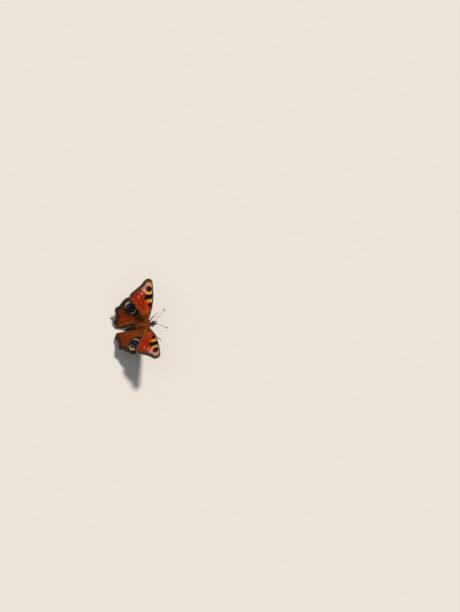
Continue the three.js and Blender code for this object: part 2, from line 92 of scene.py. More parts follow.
def linear(colour):
    parts = [c / 255 for c in colour]
    return tuple(p / 12.92 if p <= 0.04045 else ((p + 0.055) / 1.055) ** 2.4 for p in parts) + (1.0,)


tints = {  # red, green, blue
    # wings
    "rust": (196, 52, 8), "deepRust": (158, 36, 5), "ember": (222, 92, 16), "black": (15, 11, 12),
    "yellow": (240, 170, 54), "paleYellow": (238, 202, 132), "orange": (226, 106, 20),
    "rose": (214, 166, 140), "maroon": (132, 26, 10), "violet": (72, 62, 124), "lilac": (162, 150, 188),
    "frost": (186, 184, 186), "pearl": (228, 164, 134), "greyBrown": (84, 64, 44),
    "darkBrown": (46, 31, 20), "brown": (136, 78, 26), "goldBrown": (166, 92, 24),
    "cream": (232, 216, 158), "redBrown": (172, 62, 10), "deepBrown": (140, 46, 8), "slate": (62, 46, 34),
    "soot": (36, 28, 24), "sootPale": (84, 68, 54), "ash": (122, 104, 82),
    # hair
    "back": (190, 94, 25), "shade": (96, 54, 26), "collar": (122, 72, 30), "breast": (60, 43, 32),
    "abdomenTop": (64, 40, 24), "abdomenBase": (164, 86, 28), "abdomenUnder": (44, 32, 25),
    "crown": (112, 70, 38), "face": (74, 50, 34), "palpTop": (52, 38, 30), "palpUnder": (140, 104, 72),
    "femur": (66, 50, 40), "shin": (122, 96, 68), "foreleg": (86, 66, 50),
    # bare parts
    "eyeDark": (20, 11, 9), "eyeWarm": (58, 30, 19), "feeler": (30, 21, 17),
    "feelerRing": (196, 188, 176), "feelerTip": (206, 150, 92), "tongue": (58, 38, 24),
    "tongueRing": (92, 62, 38), "horn": (30, 18, 12), "hornPale": (74, 44, 26),
}


def tinted(name):
    return linear(tints[name])


def fill(tree, node, inputs):
    # an input is linked to a socket, or to the first output of a node, or takes the value itself
    for key, value in inputs.items():
        if isinstance(value, bpy.types.Node):
            value = value.outputs[0]
        if isinstance(value, bpy.types.NodeSocket):
            tree.links.new(value, node.inputs[key])
        else:
            node.inputs[key].default_value = value


def addNode(tree, kind, inputs=None, **settings):
    node = tree.nodes.new(kind)
    for key, value in settings.items():
        setattr(node, key, value)
    fill(tree, node, inputs or {})
    return node


def newMaterial(name):
    material = bpy.data.materials.new(name)
    material.use_nodes = True
    tree = material.node_tree
    tree.nodes.clear()
    shader = addNode(tree, "ShaderNodeBsdfPrincipled")
    addNode(tree, "ShaderNodeOutputMaterial", {"Surface": shader})
    return material, tree, shader


def mixed(tree, factor, under, over):
    mix = addNode(tree, "ShaderNodeMix", {0: factor, 6: under, 7: over}, data_type="RGBA")
    return mix.outputs[2]


def ranged(tree, value, low, high, bottom=0.0, top=1.0, **settings):
    inputs = {"Value": value, "From Min": low, "From Max": high, "To Min": bottom, "To Max": top}
    return addNode(tree, "ShaderNodeMapRange", inputs, **settings)


def math2(tree, operation, first, second=0.0):
    return addNode(tree, "ShaderNodeMath", {0: first, 1: second}, operation=operation)


def vectorMath(tree, operation, first, second):
    inputs = {0: first, 3 if operation == "SCALE" else 1: second}
    return addNode(tree, "ShaderNodeVectorMath", inputs, operation=operation)


def lengthOf(tree, vector):
    return addNode(tree, "ShaderNodeVectorMath", {0: vector}, operation="LENGTH").outputs["Value"]


def attribute(tree, name, output="Fac"):
    return addNode(tree, "ShaderNodeAttribute", attribute_name=name).outputs[output]


def objectPlace(tree):
    return addNode(tree, "ShaderNodeTexCoord").outputs["Object"]


def noise(tree, place, scale, detail):
    return addNode(tree, "ShaderNodeTexNoise", {"Vector": place, "Scale": scale, "Detail": detail})


def newObject(name, data):
    obj = bpy.data.objects.new(name, data)
    bpy.context.scene.collection.objects.link(obj)
    return obj


def newMesh(name, points, faces=(), edges=()):
    mesh = bpy.data.meshes.new(name)
    mesh.from_pydata(np.asarray(points, float).tolist(), edges, faces)
    mesh.polygons.foreach_set("use_smooth", [True] * len(faces))
    return mesh


def makeCamera():
    turn = math.radians(photoFrame["turn"])
    tilt = math.radians(photoFrame["elevation"])
    right = Vector((math.cos(turn), -math.sin(turn), 0))
    ahead = Vector((math.sin(turn) * math.cos(tilt), math.cos(turn) * math.cos(tilt), -math.sin(tilt)))
    up = right.cross(ahead)
    across, down = (a - b for a, b in zip(photoFrame["thorax"], photoFrame["middle"]))
    ray = ahead + (right * across - up * down) / photoFrame["focal"]
    data = bpy.data.cameras.new("camera")
    data.sensor_width = 36
    data.lens = data.sensor_width * photoFrame["focal"] / (2 * photoFrame["middle"][1])
    data.clip_start = 0.005
    camera = newObject("camera", data)
    turned = Matrix((right, up, -ahead)).transposed().to_4x4()
    camera.matrix_world = Matrix.Translation(bodyMiddle - ray * photoFrame["distance"]) @ turned
    bpy.context.scene.camera = camera


def makeFloor():
    material, tree, shader = newMaterial("studioFloor")
    pale = linear(studio["floorColour"])
    darker = tuple(studio["floorGrain"] * c for c in pale[:3]) + (1.0,)
    grain = noise(tree, objectPlace(tree), 60.0, 4.0)
    fill(tree, shader, {"Base Color": mixed(tree, grain, darker, pale), "Roughness": 0.9})
    half = studio["floorSize"] / 2
    corners = [(-half, -half, 0), (half, -half, 0), (half, half, 0), (-half, half, 0)]
    mesh = newMesh("studioFloor", corners, [(0, 1, 2, 3)])
    mesh.materials.append(material)
    floor = newObject("studioFloor", mesh)


def makeLight():
    data = bpy.data.lights.new("key", "SUN")
    data.energy = studio["sunStrength"]
    data.angle = math.radians(studio["sunAngle"])
    data.color = studio["sunColour"]
    key = newObject("key", data)
    up, aside = math.radians(studio["sunElevation"]), math.radians(studio["sunAzimuth"])
    toSun = Vector((math.cos(up) * math.cos(aside), math.cos(up) * math.sin(aside), math.sin(up)))
    key.rotation_euler = toSun.to_track_quat("Z", "Y").to_euler()

    world = bpy.data.worlds.new("sky")
    bpy.context.scene.world = world
    world.use_nodes = True
    tree = world.node_tree
    sky = tree.nodes["Background"]
    fill(tree, sky, {"Color": studio["skyColour"], "Strength": studio["skyStrength"]})
    backdrop = addNode(tree, "ShaderNodeBackground", {"Color": linear(studio["backdrop"])})
    seen = addNode(tree, "ShaderNodeLightPath").outputs["Is Camera Ray"]
    both = addNode(tree, "ShaderNodeMixShader", {0: seen, 1: sky, 2: backdrop})
    fill(tree, tree.nodes["World Output"], {"Surface": both})
    bpy.context.scene.view_settings.view_transform = "Standard"


makeCamera()
makeFloor()
makeLight()
print("camera, floor and light")


# Shapes
def unit(rows):
    return rows / np.maximum(np.linalg.norm(rows, axis=-1, keepdims=True), 1e-9)


def smooth(low, high, value):
    t = np.clip((value - low) / (high - low), 0, 1)
    return t * t * (3 - 2 * t)


def lengthAlong(line):
    return np.append(0, np.cumsum(np.linalg.norm(np.diff(line, axis=0), axis=1)))


def pick(rows, along, stops):
    # the rows' values at the stops, where each row stands at its own place along
    return np.column_stack([np.interp(stops, along, column) for column in rows.T])


def spline(points, step, closed=False):
    # a smooth line through the points, and for each of its places the number of the point it is at
    points = np.asarray(points, float)
    if closed:
        padded = np.vstack([points[-1:], points, points[:2]])
    else:
        padded = np.vstack([2 * points[0] - points[1], points, 2 * points[-1] - points[-2]])
    t = np.linspace(0, 1, 24, endpoint=False)[:, None]
    rows, marks = [], []
    for k in range(len(padded) - 3):
        before, start, end, after = padded[k:k + 4]
        g0, g1, g2 = (np.linalg.norm(b - a) ** 0.5 for a, b in ((before, start), (start, end), (end, after)))
        leave = g1 * ((start - before) / g0 - (end - before) / (g0 + g1)) + end - start
        reach = g1 * ((after - end) / g2 - (after - start) / (g1 + g2)) + end - start
        curved = 2 * (start - end) + leave + reach
        rows.append(start + leave * t + (3 * (end - start) - 2 * leave - reach) * t ** 2 + curved * t ** 3)
        marks.append(k + t[:, 0])
    curve = np.vstack(rows + [padded[-2:-1]])
    marks = np.append(np.concatenate(marks), len(padded) - 3)
    along = lengthAlong(curve)
    stops = np.linspace(0, along[-1], max(2, round(along[-1] / step) + 1))
    if closed:
        stops = stops[:-1]
    return pick(curve, along, stops), np.interp(stops, along, marks)


def nearestOn(line, points):
    # distance from each point to a line of joined stretches, and how far along the line that is
    best = np.full(len(points), np.inf)
    share = np.zeros(len(points))
    for k in range(len(line) - 1):
        run = line[k + 1] - line[k]
        along = np.clip(((points - line[k]) @ run) / (run @ run), 0, 1)
        gap = np.linalg.norm(points - line[k] - along[:, None] * run, axis=1)
        closer = gap < best
        best = np.where(closer, gap, best)
        share = np.where(closer, (k + along) / (len(line) - 1), share)
    return best, share


def insideLoop(loop, points):
    inside = np.zeros(len(points), bool)
    x, y = points.T
    for (ax, ay), (bx, by) in zip(loop, np.roll(loop, -1, axis=0)):
        if ay != by:
            inside ^= ((ay > y) != (by > y)) & (x < (bx - ax) * (y - ay) / (by - ay) + ax)
    return inside


def withZero(rows):
    # rows of (x, y) as (x, y, 0)
    return np.pad(rows, ((0, 0), (0, 1)))


def sameEachWay(length):
    return np.repeat(length[:, None], 3, axis=1)


def mirrored(points, side):
    # the left side's places as they are, the right side's on the other side of the body
    return np.array(points) * (1, side, 1)


attributeSlots = {"FLOAT": "value", "FLOAT_VECTOR": "vector", "FLOAT_COLOR": "color", "FLOAT2": "vector"}


def setAttributes(mesh, kind, values, domain="POINT"):
    for name, rows in values.items():
        layer = mesh.attributes.new(name, kind, domain)
        layer.data.foreach_set(attributeSlots[kind], np.asarray(rows, np.float32).ravel())


def settle(obj, slotName, *nodes):
    # carries a finished piece from the body's axes in millimetres into the frame
    obj.data.transform(settled)
    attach(obj, "root")
    if nodes:
        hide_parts(*nodes)
    obj.data.calc_loop_triangles()
    print(f"{obj.name}: {len(obj.data.loop_triangles)} triangles")


def keepShape(obj):
    # gives the object the plain mesh that its modifiers make
    bpy.context.view_layer.update()
    made = bpy.data.meshes.new_from_object(obj.evaluated_get(bpy.context.evaluated_depsgraph_get()))
    obj.modifiers.clear()
    obj.data = made
    made.name = obj.name
    return obj


# Geometry Nodes helpers
def newTree(name, inputs):
    tree = bpy.data.node_groups.new(name, "GeometryNodeTree")
    tree.interface.new_socket("Geometry", in_out="INPUT", socket_type="NodeSocketGeometry")
    for label, kind in inputs.items():
        tree.interface.new_socket(label, in_out="INPUT", socket_type="NodeSocket" + kind)
    tree.interface.new_socket("Geometry", in_out="OUTPUT", socket_type="NodeSocketGeometry")
    return tree, addNode(tree, "NodeGroupInput").outputs


def runTree(tree, mesh, name, values):
    # runs a tree on a mesh and gives back the plain mesh that it makes, as an object
    obj = newObject(name, mesh)
    modifier = obj.modifiers.new(tree.name, "NODES")
    modifier.node_group = tree
    for item in tree.interface.items_tree:
        if item.in_out == "INPUT" and item.name in values:
            modifier[item.identifier] = values[item.name]
    return keepShape(obj)


def stored(tree, geometry, name, value, kind="FLOAT", domain="POINT"):
    inputs = {"Geometry": geometry, "Name": name, "Value": value}
    return addNode(tree, "GeometryNodeStoreNamedAttribute", inputs, data_type=kind, domain=domain)


def endTree(tree, geometry, material):
    painted = addNode(tree, "GeometryNodeSetMaterial", {0: geometry, "Material": material})
    addNode(tree, "NodeGroupOutput", {0: painted})


# The coat: one small tile or tuft stands at each place, lies along it, and takes the skin's marks there
def buildCoatTree():
    tree, given = newTree("coat", {
        "Spread": "Bool", "Cover": "String", "Spacing": "Float", "Density": "Float", "Tuft": "Object",
        "Lift": "Float", "Lift Varies": "Float", "Turn Varies": "Float", "Size Varies": "Float",
        "Patch": "Float", "Seed": "Int", "Material": "Material",
    })

    def named(name, kind="FLOAT_VECTOR"):
        return addNode(tree, "GeometryNodeInputNamedAttribute", {"Name": name}, data_type=kind)

    def chance(low, high, step):
        inputs = {2: low, 3: high, "Seed": math2(tree, "ADD", given["Seed"], float(step))}
        return addNode(tree, "FunctionNodeRandomValue", inputs, data_type="FLOAT").outputs[1]

    def eitherWay(label, step):
        return chance(math2(tree, "MULTIPLY", given[label], -1.0), given[label], step)

    spread = addNode(tree, "GeometryNodeDistributePointsOnFaces", {
        "Mesh": given["Geometry"], "Distance Min": given["Spacing"], "Density Max": given["Density"],
        "Density Factor": named(given["Cover"], "FLOAT"), "Seed": given["Seed"],
    }, distribute_method="POISSON")
    faced = stored(tree, spread, "siteNormal", spread.outputs["Normal"], "FLOAT_VECTOR")
    sites = addNode(tree, "GeometryNodeSwitch", {
        "Switch": given["Spread"], "False": given["Geometry"], "True": faced,
    }, input_type="GEOMETRY")

    # each tuft stands on the skin's normal, points along the lie, and is tipped up from the skin
    upright = addNode(tree, "FunctionNodeAxesToRotation", {0: named("siteNormal"), 1: named("lie")},
                      primary_axis="Z", secondary_axis="Y")
    lift = math2(tree, "ADD", given["Lift"], eitherWay("Lift Varies", 1))
    turns = addNode(tree, "ShaderNodeCombineXYZ", {0: lift, 2: eitherWay("Turn Varies", 2)})
    tip = addNode(tree, "FunctionNodeEulerToRotation", {0: turns})
    tipped = addNode(tree, "FunctionNodeRotateRotation", {0: upright, 1: tip}, rotation_space="LOCAL")
    grown = math2(tree, "ADD", eitherWay("Size Varies", 3), 1.0)
    placed = addNode(tree, "GeometryNodeInstanceOnPoints", {
        "Points": sites, "Rotation": tipped, "Scale": vectorMath(tree, "SCALE", named("tuftSize"), grown),
        "Instance": addNode(tree, "GeometryNodeObjectInfo", {"Object": given["Tuft"]}).outputs["Geometry"],
    })
    shaded = stored(tree, placed, "tuftShade", chance(0.0, 1.0, 4), domain="INSTANCE")
    solid = addNode(tree, "GeometryNodeRealizeInstances", {0: shaded})

    # the bake map: a small patch for each tuft, at its root's place on the skin's own unwrap
    patch = vectorMath(tree, "SCALE", named("tuftPlace"), given["Patch"])
    place = vectorMath(tree, "ADD", named("skinPlace"), patch)
    endTree(tree, stored(tree, solid, "OFBake", place, "FLOAT2", "CORNER"), given["Material"])
    return tree


coatTree = buildCoatTree()


def growCoat(mesh, name, slotName, values):
    # one coat piece: a tuft at each of the mesh's places, or spread over its faces
    made = runTree(coatTree, mesh, name, {"Spread": False, "Cover": "none", "Patch": 0.003, **values})
    settle(made, slotName)


def hiddenTuft(name, points, faces):
    # the pattern that a coat repeats, which isn't rendered itself
    mesh = newMesh(name, points, faces)
    setAttributes(mesh, "FLOAT_VECTOR", {"tuftPlace": [(0.5 + p[0], p[1], 0) for p in points]})
    tuft = newObject(name, mesh)
    tuft.hide_render = True
    return tuft


def scaleTile(name):
    # one wing scale: narrow at its root, square at its tip, a little domed, closed underneath
    rim = [(0, 0), (0.36, 0.28), (0.5, 0.86), (0.0, 1.0), (-0.5, 0.86), (-0.36, 0.28)]
    points = [(x, y, 0) for x, y in rim] + [(0, 0.58, 0.06)]
    faces = [(k, (k + 1) % 6, 6) for k in range(6)] + [(0, 5, 1), (1, 5, 4), (1, 4, 2), (2, 4, 3)]
    return hiddenTuft(name, points, faces)


def hairTuft(name, strands, thick, gather, splay, bow, seed):
    # a few tapered hairs of about unit length from one root, bowed up and back to the coat
    rng = np.random.default_rng(seed)
    points, faces = [], []
    for k in range(strands):
        side = (k - (strands - 1) / 2) / max(1, strands - 1)
        reach = 1 - 0.3 * rng.random()
        height = bow * (0.5 + rng.random())
        sway = splay * (side + 0.4 * (rng.random() - 0.5))
        first = len(points)
        for t, wide in ((0, 1.0), (0.33, 0.95), (0.7, 0.65), (1, 0)):
            middle = np.array([gather * side + sway * t ** 1.4, reach * t, height * math.sin(2.6 * t)])
            for corner in range(3 if wide else 1):
                turn = 2 * math.pi * corner / 3 + math.pi / 2
                points.append(middle + thick * wide * np.array([math.cos(turn), 0, math.sin(turn)]))
        for c in range(3):
            a, b = first + c, first + (c + 1) % 3
            faces += [(a, a + 3, b + 3, b), (a + 3, a + 6, b + 6, b + 3), (a + 6, first + 9, b + 6)]
        faces.append((first, first + 1, first + 2))
    return hiddenTuft(name, points, faces)


floorUp = np.array(bodyTurn)[2]  # straight up from the floor, on the body's axes


def floorHeight(points):
    return points @ floorUp + stance["height"]


def floorRoom(roots, lie, length):
    # the share of its length that a tuft can have before its tip meets the floor
    room = (floorHeight(roots) - 0.05) / np.maximum(0.25 - lie @ floorUp, 0.05)
    return np.clip(room / length, 0.15, 1)


# Wings
wings = {
    "forewing": {
        "root": (2.0, 2.4, 1.75),  # ahead, out, up from the middle of the thorax
        "hub": (-3.0, -0.6),       # where the rows of scales are centred
        "outer": (9, 17),          # the outline's points from the tip to the hind corner
        "outline": [
            (-1.2, 1.3), (0, 1.5), (2.5, 4.1), (6, 7.7), (10, 11.0), (14, 13.6), (18, 15.7), (21.5, 17.2),
            (23.6, 17.8), (24.9, 17.2), (25.7, 14.6), (25.2, 12.8), (24.0, 10.6), (23.2, 8.2), (22.5, 5.2),
            (21.7, 2.0), (21.0, -0.4), (19.6, -2.0), (17, -2.2), (12, -1.5), (6, -1.1), (2, -1.2),
            (-1.2, -1.3),
        ],
        "veins": [
            [(1.2, 1.9), (6, 7.0), (10, 10.3), (14, 12.9), (18, 15.0), (21.8, 16.5)],
            [(0.6, 0.8), (5, 5.3), (10, 9.4), (13.8, 12.2)],
            [(0.4, 0.2), (5, 4.3), (10, 8.5), (13, 10.3), (18, 14.0), (22.8, 16.8)],
            [(10, 8.5), (13.5, 11.2), (17, 14.0)],
            [(17.4, 13.6), (21, 14.9), (24.6, 15.8)],
            [(13, 10.3), (13.6, 9.0), (19, 11.4), (24.8, 13.4)],
            [(13.6, 9.0), (13.4, 7.6), (18.8, 9.4), (23.6, 10.7)],
            [(13.4, 7.6), (12.4, 5.6), (18, 7.0), (22.6, 8.1)],
            [(0.4, -0.2), (5, 2.0), (9, 4.0), (12.4, 5.6)],
            [(11, 5.0), (17, 4.9), (21.9, 4.9)],
            [(7.6, 3.3), (14.5, 2.2), (20.9, 1.6)],
            [(0.6, -0.6), (8, -0.3), (15, -1.1), (19.2, -1.6)],
        ],
        "pose": {  # degrees
            "Left": {"raise": 32.9, "sweep": -10.0, "twist": 1.1, "bend": 12.0},
            "Right": {"raise": 28.9, "sweep": -12.5, "twist": 3.9, "bend": 13.7},
        },
    },
    "hindwing": {
        "root": (-1.0, 2.2, 0.5),
        "hub": (-2.2, 1.6),
        "outer": (6, 17),
        "outline": [
            (-1.0, 0.8), (0, 1.2), (2, 2.8), (6, 4.6), (11, 5.6), (15.5, 5.2), (18.4, 3.4), (19.5, 0.8),
            (19.7, -1.6), (19.2, -4.4), (18.4, -7.2), (18.8, -10.6), (17.6, -11.9), (15.2, -13.4),
            (13.1, -15.8), (12.2, -17.7), (10.2, -18.6), (7.6, -19.0), (5.6, -17.2), (3.9, -12.4),
            (2.2, -7.0), (0.6, -2.4), (-1.0, -1.4),
        ],
        "veins": [
            [(0.6, 0.6), (3.2, 1.9), (9, 3.4), (16.6, 3.9)],
            [(0.6, 0.2), (5, 0.9), (9, 0.8), (18.8, -0.6)],
            [(7.4, 0.9), (8.2, -0.4), (13, -2.0), (18.7, -4.2)],
            [(8.2, -0.4), (8.0, -1.6), (12.5, -4.4), (17.9, -7.2)],
            [(8.0, -1.6), (7.2, -3.0), (12.5, -7.0), (18.1, -10.9)],
            [(0.6, -0.3), (3.6, -1.6), (7.2, -3.0)],
            [(7.2, -3.0), (11, -8.4), (14.8, -13.0)],
            [(3.8, -1.7), (8, -9.6), (11.8, -17.1)],
            [(0.8, -0.9), (4.4, -8), (8.2, -18.2)],
        ],
        "fold": {"from": (1.2, -1.2), "to": (8.4, -19.0), "degrees": 58, "width": 0.9},
        "pose": {
            "Left": {"raise": 22.2, "sweep": -22.9, "twist": 2.5, "bend": 6.7},
            "Right": {"raise": 19.6, "sweep": -26.5, "twist": 0.6, "bend": 6.7},
        },
    },
}
membrane = {
    "thick": 0.13,        # between the veins
    "edgeThick": 0.05,
    "veinRise": 0.13,
    "underVeins": 0.35,   # share of the veins' rise in the membrane itself; the scales ride over the rest
    "veinWidth": 0.13,
    "sag": 0.13,          # how far the cells sink between the veins
    "rootSwell": 0.3,     # how much thicker each face is at the root
    "rootSpan": 1.6,
    "wave": 0.05,
    "bendSpan": 25,       # length over which a wing bends by its bend angle
    "edgeStep": 0.22,
    "veinStep": 0.3,
    "cellStep": 0.52,
    "flanks": (0, 0.09, -0.09, 0.19, -0.19, 0.32, -0.32),  # rows of points beside a vein
}
faceSides = {"Upper": 1, "Under": -1}
distances = ("outerDistance", "frontDistance", "innerDistance", "veinDistance")


def traceWing(shape):
    # the outline and the veins as fine lines, once for each kind of wing
    edge, marks = spline(shape["outline"], membrane["edgeStep"], closed=True)
    first, last = shape["outer"]
    shape["edge"] = edge
    shape["outerEdge"] = edge[(marks >= first) & (marks <= last)]
    shape["frontEdge"] = edge[marks <= first]
    shape["innerEdge"] = edge[marks >= last]
    shape["veinLines"] = [spline(route, membrane["veinStep"])[0] for route in shape["veins"]]


def wingFacts(shape, places):
    # what the shape and the marks need to know at flat places on a wing
    facts = {}
    for name in ("outer", "front", "inner"):
        facts[name + "Distance"] = nearestOn(shape[name + "Edge"], places)[0]
    rise = np.zeros(len(places))
    nearest = np.full(len(places), 9.0)
    for line in shape["veinLines"]:
        gap, share = nearestOn(line, places)
        crest = membrane["veinRise"] * (1 - 0.6 * share)
        rise = np.maximum(rise, crest * np.exp(-(gap / membrane["veinWidth"]) ** 2))
        nearest = np.minimum(nearest, gap)
    facts["veinDistance"] = nearest
    facts["veinRise"] = rise
    return facts


def wingHeight(places, facts, face):
    # height above the wing's flat plane on the upper (1) or under (-1) face
    a, b = places.T
    edge = np.min([facts["outerDistance"], facts["frontDistance"], facts["innerDistance"]], axis=0)
    sag = -membrane["sag"] * smooth(0, 1.7, facts["veinDistance"]) * smooth(0, 1.2, edge)
    wave = membrane["wave"] * np.sin(0.9 * a + 0.5 * b) * np.sin(0.7 * b - 0.3 * a) * smooth(0, 6, a)
    thick = membrane["edgeThick"] + (membrane["thick"] - membrane["edgeThick"]) * smooth(0, 0.7, edge)
    swell = membrane["rootSwell"] * np.exp(-((a / membrane["rootSpan"]) ** 2))
    veins = facts["veinRise"] * (1.0 if face > 0 else 0.75)
    return sag + wave + face * (thick / 2 + swell + veins)


def foldDown(shape, a, b, h):
    if "fold" not in shape:
        return a, b, h
    fold = shape["fold"]
    start, run = np.array(fold["from"]), np.subtract(fold["to"], fold["from"])
    ux, uy = run / np.hypot(*run)
    beyond = np.maximum((a - start[0]) * uy - (b - start[1]) * ux, 0)
    turn = math.radians(fold["degrees"]) * np.minimum(1, beyond / fold["width"])
    side = beyond * np.cos(turn * 0.7) - h * np.sin(turn) - beyond
    return a + side * uy, b - side * ux, h * np.cos(turn) - beyond * np.sin(turn * 0.7)


def onWing(shape, way, a, b, h):
    # sets flat places (out, ahead, up) on the posed wing: swept, twisted, and bent up from the root
    pose, side = shape["pose"][way], sides[way]
    sweep, twist = math.radians(pose["sweep"]), math.radians(pose["twist"])
    a, b, h = foldDown(shape, a, b, h)
    out = a * math.cos(sweep) - b * math.sin(sweep)
    ahead = a * math.sin(sweep) + b * math.cos(sweep)
    forward = ahead * math.cos(twist) - h * math.sin(twist)
    lift = ahead * math.sin(twist) + h * math.cos(twist)
    rate = math.radians(pose["bend"]) / membrane["bendSpan"]
    start = math.radians(pose["raise"] + pose["bend"] / 2)
    angle = start - rate * out
    sideways = (math.sin(start) - np.sin(angle)) / rate - lift * np.sin(angle)
    upward = (np.cos(angle) - math.cos(start)) / rate + lift * np.cos(angle)
    rootX, rootY, rootZ = shape["root"]
    return np.column_stack([rootX + forward, side * (rootY + sideways), rootZ + upward])


def spaced(groups):
    # keeps places in order, leaving out each one that comes too near an earlier one
    size = 0.6
    kept, cells = [], {}
    for places, room in groups:
        for x, y in places:
            i, j = int(x // size), int(y // size)
            around = [cells.get((i + di, j + dj), ()) for di in (-1, 0, 1) for dj in (-1, 0, 1)]
            if all(math.hypot(x - p, y - q) >= room for cell in around for p, q in cell):
                kept.append((x, y))
                cells.setdefault((i, j), []).append((x, y))
    return np.array(kept)


def flatWing(shape):
    # triangles of the flat wing, with rows of points along the veins and on both their flanks
    edge, veins = shape["edge"], shape["veinLines"]
    across = [unit(np.gradient(line, axis=0)) @ np.array([(0, 1), (-1, 0)]) for line in veins]
    groups = []
    for offset in membrane["flanks"]:
        rows = [line + offset * aside for line, aside in zip(veins, across)]
        groups.append((np.vstack(rows), 0.085 if offset else 0.16))
    step = membrane["cellStep"]
    low, high = edge.min(0), edge.max(0)
    grid = [(low[0] + (i + 0.5 * (j % 2)) * step, low[1] + j * step * 0.866)
            for j in range(int((high[1] - low[1]) / step / 0.866) + 1)
            for i in range(int((high[0] - low[0]) / step) + 1)]
    groups.append((np.array(grid), 0.3))
    loop = np.vstack([edge, edge[:1]])
    loose = []
    for places, room in groups:
        places = places[insideLoop(edge, places)]
        loose.append((places[nearestOn(loop, places)[0] > 0.12], room))
    points = spaced([(edge, 0)] + loose)
    rim = [(k, (k + 1) % len(edge)) for k in range(len(edge))]
    flat, _, faces, *_ = delaunay_2d_cdt([Vector(p) for p in points], rim, [], 1, 1e-5)
    return np.array([tuple(p) for p in flat]), [tuple(f) for f in faces]


def unwrapPlace(shape, places, face=0):
    # the flat wing fills the bake map, or its lower (1) or upper (-1) half where both faces share it
    low, high = shape["edge"].min(0), shape["edge"].max(0)
    room = 0.94 / max(high[0] - low[0], (high[1] - low[1]) * (2 if face else 1) * 1.04)
    u, v = ((places - low) * room + 0.02).T
    return np.column_stack([u, v if face >= 0 else v + 0.5])


def wingSkin(kind, way, materials):
    shape = wings[kind]
    flat, upper = shape["flat"]
    count = len(flat)
    facts = dict(shape["flatFacts"])
    facts["veinRise"] = membrane["underVeins"] * facts["veinRise"]
    points = [onWing(shape, way, *flat.T, wingHeight(flat, facts, face)) for face in faceSides.values()]
    under = [tuple(c + count for c in reversed(f)) for f in upper]
    rim = {}
    for a, b, c in upper:
        for p, q in ((a, b), (b, c), (c, a)):
            if (q, p) in rim:
                del rim[(q, p)]
            else:
                rim[(p, q)] = (q, p, p + count, q + count)
    skin = upper + under + list(rim.values())
    if sides[way] > 0:
        skin = [f[::-1] for f in skin]  # the left wing is the mirror of the right one
    name = kind + way
    mesh = newMesh(name, np.vstack(points), skin)
    mesh.polygons.foreach_set("material_index", [0] * len(upper) + [1] * len(under) + [0] * len(rim))
    for material in materials:
        mesh.materials.append(material)
    setAttributes(mesh, "FLOAT_VECTOR", {"wingPlace": np.tile(withZero(flat), (2, 1))})
    setAttributes(mesh, "FLOAT", {fact: np.tile(facts[fact], 2) for fact in distances})
    setAttributes(mesh, "FLOAT", {"tuftShade": np.full(2 * count, 0.5)})
    corners = np.zeros(len(mesh.loops), int)
    mesh.loops.foreach_get("vertex_index", corners)
    places = np.vstack([unwrapPlace(shape, flat, face) for face in faceSides.values()])
    setAttributes(mesh, "FLOAT2", {"OFBake": places[corners]}, "CORNER")
    return newObject(name, mesh)


